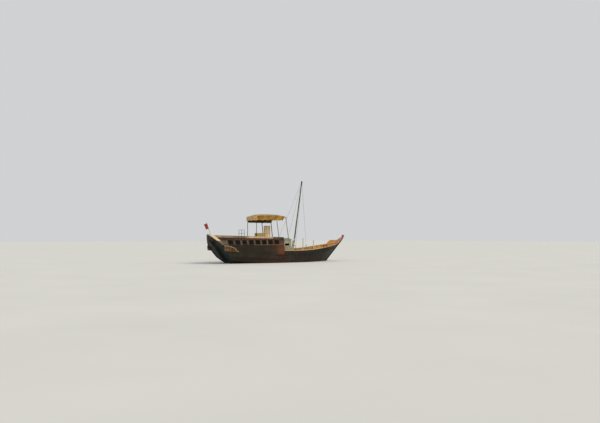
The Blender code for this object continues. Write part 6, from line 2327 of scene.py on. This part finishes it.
@dataclass
class PoopFurniture:
    """The lidded locker, the slatted screen, and the ensign on its staff."""

    locker: tuple[Pair, Pair] = ((-3.86, -1.12), (-2.62, -0.46))
    locker_top: float = 3.9903
    board: float = 0.13
    lid: float = 0.045
    lid_boards: int = 5
    lip: float = 0.015
    screen_x: Pair = (-1.94, -0.94)
    screen_y: float = 0.325
    screen_top: float = 5.05
    slats: int = 12
    flag: Pair = (0.46, 0.74)

    def build(self) -> None:
        """Make each piece."""
        self.build_locker()
        self.build_screen()
        self.build_ensign()

    def build_locker(self) -> None:
        """Board the locker and batten its lid."""
        (x0, y0), (x1, y1) = self.locker
        boards = Joiner(160)
        z = POOP_DECK_Z + 0.014
        while z < self.locker_top - 0.05:
            end = min(z + self.board, self.locker_top - 0.004)
            for y, sign in ((y0, -1), (y1, 1)):
                low, high = sorted((y - sign * 0.003, y + sign * 0.009))
                boards.block((x0 + 0.04, low, z + 0.002), (x1 - 0.04, high, end - 0.002), 0.002)
            for x, sign in ((x0, -1), (x1, 1)):
                low, high = sorted((x - sign * 0.003, x + sign * 0.009))
                boards.block((low, y0 + 0.04, z + 0.002), (high, y1 - 0.04, end - 0.002), 0.002)
            z = end
        half = 0.026
        for x in (x0 + 0.012, x1 - 0.012):
            for y in (y0 + 0.012, y1 - 0.012):
                foot, head = POOP_DECK_Z + 0.013, self.locker_top - 0.002
                boards.block((x - half, y - half, foot), (x + half, y + half, head), 0.006)
        boards.keep("locker_boards", OLIVE, "olive_paint")
        dress(OLIVE, "locker")
        lid = Joiner(161)
        low, high = self.locker_top + SEAT, self.locker_top + SEAT + self.lid
        near, far = y0 - self.lip, y1 + self.lip
        edges = steps(near, far, self.lid_boards)
        for a, b in zip(edges, edges[1:]):
            lid.block((x0 - self.lip, a + 0.0015, low), (x1 + self.lip, b - 0.0015, high - 0.008))
        lid.block((x0 + 0.01, near + 0.02, low + 0.004), (x1 - 0.01, far - 0.02, low + 0.018), 0.002, 0.3)
        middle = (x0 + x1) / 2
        for x in (x0 + 0.12, middle, x1 - 0.12):
            lid.bar((x, near + 0.01, high - 0.004), (x, far - 0.01, high - 0.004), 0.07, 0.016, X)
        lid.keep("locker_lid_boards", OLIVE, "olive_paint", "locker_lid", body="locker_top")
        iron = Joiner(162)
        for x in (x0 + 0.25, x1 - 0.25):
            iron.bar((x, far - 0.24, high + 0.0015), (x, far - 0.008, high + 0.0015), 0.035, 0.006, X, 0.001)
        iron.bar((middle, near + 0.03, high + 0.004), (middle, near + 0.15, high + 0.004), 0.02, 0.02, X, 0.006)
        iron.keep("locker_irons", IRON, body="locker_top")

    def build_screen(self) -> None:
        """Make the screen's frame and fill it with slats."""
        (x0, x1), y = self.screen_x, self.screen_y
        low, high = POOP_DECK_Z + 0.001, self.screen_top
        shape = Joiner(163)
        for x in (x0 + 0.03, x1 - 0.03):
            shape.bar((x, y, low), (x, y, high), 0.06, 0.048, X, 0.006)
        for z, wide in ((low + 0.12, 0.09), (low + 0.85, 0.07), (high - 0.04, 0.08)):
            shape.bar((x0 + 0.06, y, z), (x1 - 0.06, y, z), wide, 0.044, Z, 0.005)
        shape.keep("screen_frame", SCREEN_FRAME, "cream_paint", "awning_screen")
        slats = Repeats("screen_slats", Unit.SLAT, 0.068, 0.018, seed=9)
        for n in range(self.slats):
            x = x0 + 0.06 + (x1 - x0 - 0.12) * (n + 0.5) / self.slats
            for foot, head in ((low + 0.16, low + 0.82), (low + 0.88, high - 0.075)):
                slats.stand((x, y, foot), (x, y, head))
        slats.build(SCREEN, "cream_paint")

    def build_ensign(self) -> None:
        """Fly a faded red bunting from the staff."""
        low, high = (Vector(corner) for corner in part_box("ensign_staff"))
        foot = Vector((high.x - 0.018, (low.y + high.y) / 2, low.z))
        head = Vector((low.x + 0.018, foot.y, high.z))
        along = (head - foot).normalized()
        dress(SPAR, "ensign_staff")
        truck = Joiner(164)
        points = [head + along * d for d in (-0.01, 0.0, 0.012, 0.026, 0.036)]
        truck.tube(points, [0.018, 0.032, 0.038, 0.030, 0.010])
        for d in (0.05, 0.30):
            points = [foot + along * (d + k) for k in (0.0, 0.004, 0.026, 0.03)]
            truck.tube(points, [0.022, 0.027, 0.027, 0.022], 14)
        truck.keep("staff_truck", SPAR, "mast_timber")
        width, height = self.flag
        cloth, rows = Weaver(), []
        top = head - along * 0.075
        for run in steps(0.0, 1.0, 18):
            row = []
            for fall in steps(0.0, 1.0, 24):
                fold = 0.055 * math.sin(7.5 * run + 2.2 * fall) * run ** 0.6 + 0.02 * math.sin(9 * fall) * run
                back = 0.022 + width * run * (0.88 - 0.10 * math.sin(3 * fall))
                place = top - along * (height * 1.02 * fall) + Vector((-back, fold, -0.13 * run ** 1.5))
                row.append(cloth.knot(place, (width * run, height * fall)))
            rows.append(row)
        cloth.join(rows)
        flag = keep(cloth.finish("ensign_sheet", BUNTING, 0.002, 0.0, 60.0), "hull", "red_bunting", ("ensign",))


@dataclass
class Rudder:
    """Iron straps on the rudder and the stern post, and the yoke."""

    axis: float = 0.2906
    places: tuple[float, ...] = (-1.55, 0.62, 2.95)

    def strap(self, shape: Joiner, w: float, near: float, far: float, half: float) -> None:
        """Add a pair of straps along the rudder's sides.

        Args:
            shape: The mesh that they go into.
            w: Place up the rake.
            near: Distance behind the transom plane of their fore ends.
            far: Distance of their aft ends.
            half: Half width of what they grip.
        """
        up = Vector(FORM.stern(1, 0)) - Vector(FORM.stern(0, 0))
        for side in (-1, 1):
            y = side * (half + 0.002)
            shape.bar(FORM.stern(w, near, y), FORM.stern(w, far, y), 0.07, 0.008, up, 0.001)

    def build(self) -> None:
        """Strap the rudder to the stern."""
        dress(STERN_TIMBER, "rudder_blade")
        soften("rudder_yoke", TARRED, "tarred_timber", "rudder")
        moving, fixed = Joiner(170), Joiner(171)
        for w in self.places:
            chord = 0.80 if w < -1 else 0.13
            self.strap(moving, w + 0.13, self.axis - 0.025, self.axis + chord, 0.05)
            self.strap(moving, w - 0.15, self.axis - 0.025, self.axis + min(chord, 0.40), 0.05)
            self.strap(fixed, w, 0.085, 0.215, 0.10)
        moving.keep("rudder_straps", IRON, "tarred_timber", body="rudder")
        fixed.keep("gudgeon_straps", IRON, "tarred_timber")


# Floor, light and camera


@dataclass
class Studio:
    """A pale floor at the waterline, soft light, and the camera where the photograph was taken."""

    distance: float = 84.0
    azimuth: float = math.radians(32)
    height: float = 3.5
    lens: float = 36.0
    shift: Pair = (23 / 600, 25.5 / 600)
    floor_half: float = 400.0

    def floor(self) -> None:
        """Lay the floor at the height of the water."""
        mesh = bpy.data.meshes.new("floor")
        half = self.floor_half
        corners = [(-half, -half, 0), (half, -half, 0), (half, half, 0), (-half, half, 0)]
        mesh.from_pydata(corners, [], [(0, 1, 2, 3)])
        made = bpy.data.objects.new("floor", mesh)
        bpy.context.scene.collection.objects.link(made)
        material = bpy.data.materials.new("pale_studio_floor")
        material.use_nodes = True
        add = partial(add_node, material.node_tree)
        where = add("ShaderNodeTexCoord").outputs["Object"]
        cloud = add("ShaderNodeTexNoise", {"Vector": where, "Scale": 0.15, "Detail": 2.0})
        tone = add("ShaderNodeMix", {0: cloud, 6: linear("#c9cac8"), 7: linear("#d3d4d2")}, data_type="RGBA")
        feed(material.node_tree.nodes["Principled BSDF"], {
            "Base Color": tone, "Roughness": 0.9, "Specular IOR Level": 0.1})
        mesh.materials.append(material)

    def lamp(self, name: str, place: Place, strength: float, spread: float, colour: str) -> None:
        """Light the ship evenly from one side.

        Args:
            name: The lamp's name.
            place: Where it hangs; only the direction from there counts.
            strength: Power in watts per square metre.
            spread: How wide it looks in degrees, which softens its shadows.
            colour: Its colour.
        """
        light = bpy.data.lights.new(name, "SUN")
        light.energy, light.angle, light.color = strength, math.radians(spread), linear(colour)[:3]
        made = bpy.data.objects.new(name, light)
        made.location = place
        made.rotation_euler = (Vector((0, 0, 3)) - Vector(place)).to_track_quat("-Z", "Y").to_euler()
        bpy.context.scene.collection.objects.link(made)

    def build(self) -> None:
        """Set the stage."""
        self.floor()
        world = bpy.data.worlds.new("pale_studio")
        world.use_nodes = True
        sky = world.node_tree.nodes["Background"]
        sky.inputs[0].default_value = linear("#dfe1e2")
        sky.inputs[1].default_value = 0.85
        bpy.context.scene.world = world
        self.lamp("key", (34, -50, 62), 1.9, 22.0, "#fff2de")
        self.lamp("fill", (-70, -30, 36), 0.35, 60.0, "#eef3ff")
        lens = bpy.data.cameras.new("camera")
        lens.lens, lens.sensor_width, lens.clip_end = self.lens, 36.0, 900.0
        lens.shift_x, lens.shift_y = self.shift
        made = bpy.data.objects.new("camera", lens)
        made.location = (
            -self.distance * math.sin(self.azimuth), -self.distance * math.cos(self.azimuth), self.height)
        made.rotation_euler = (math.pi / 2, 0, -self.azimuth)
        bpy.context.scene.collection.objects.link(made)
        bpy.context.scene.camera = made
        bpy.context.scene.view_settings.view_transform = "Standard"


def main() -> None:
    """Set the stage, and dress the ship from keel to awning."""
    Studio().build()
    for part in (
        Planking(), Rails(), Ceiling(), CabinWindows(), CabinPartitions(), Gallery(), Stern(), Decks(),
        Deckhouse(), Hatch(), Mast(), DeckFittings(), Awning(), PoopFurniture(), Rudder(),
    ):
        LOG.info("%s", type(part).__name__)
        part.build()


if __name__ == "__main__":
    main()
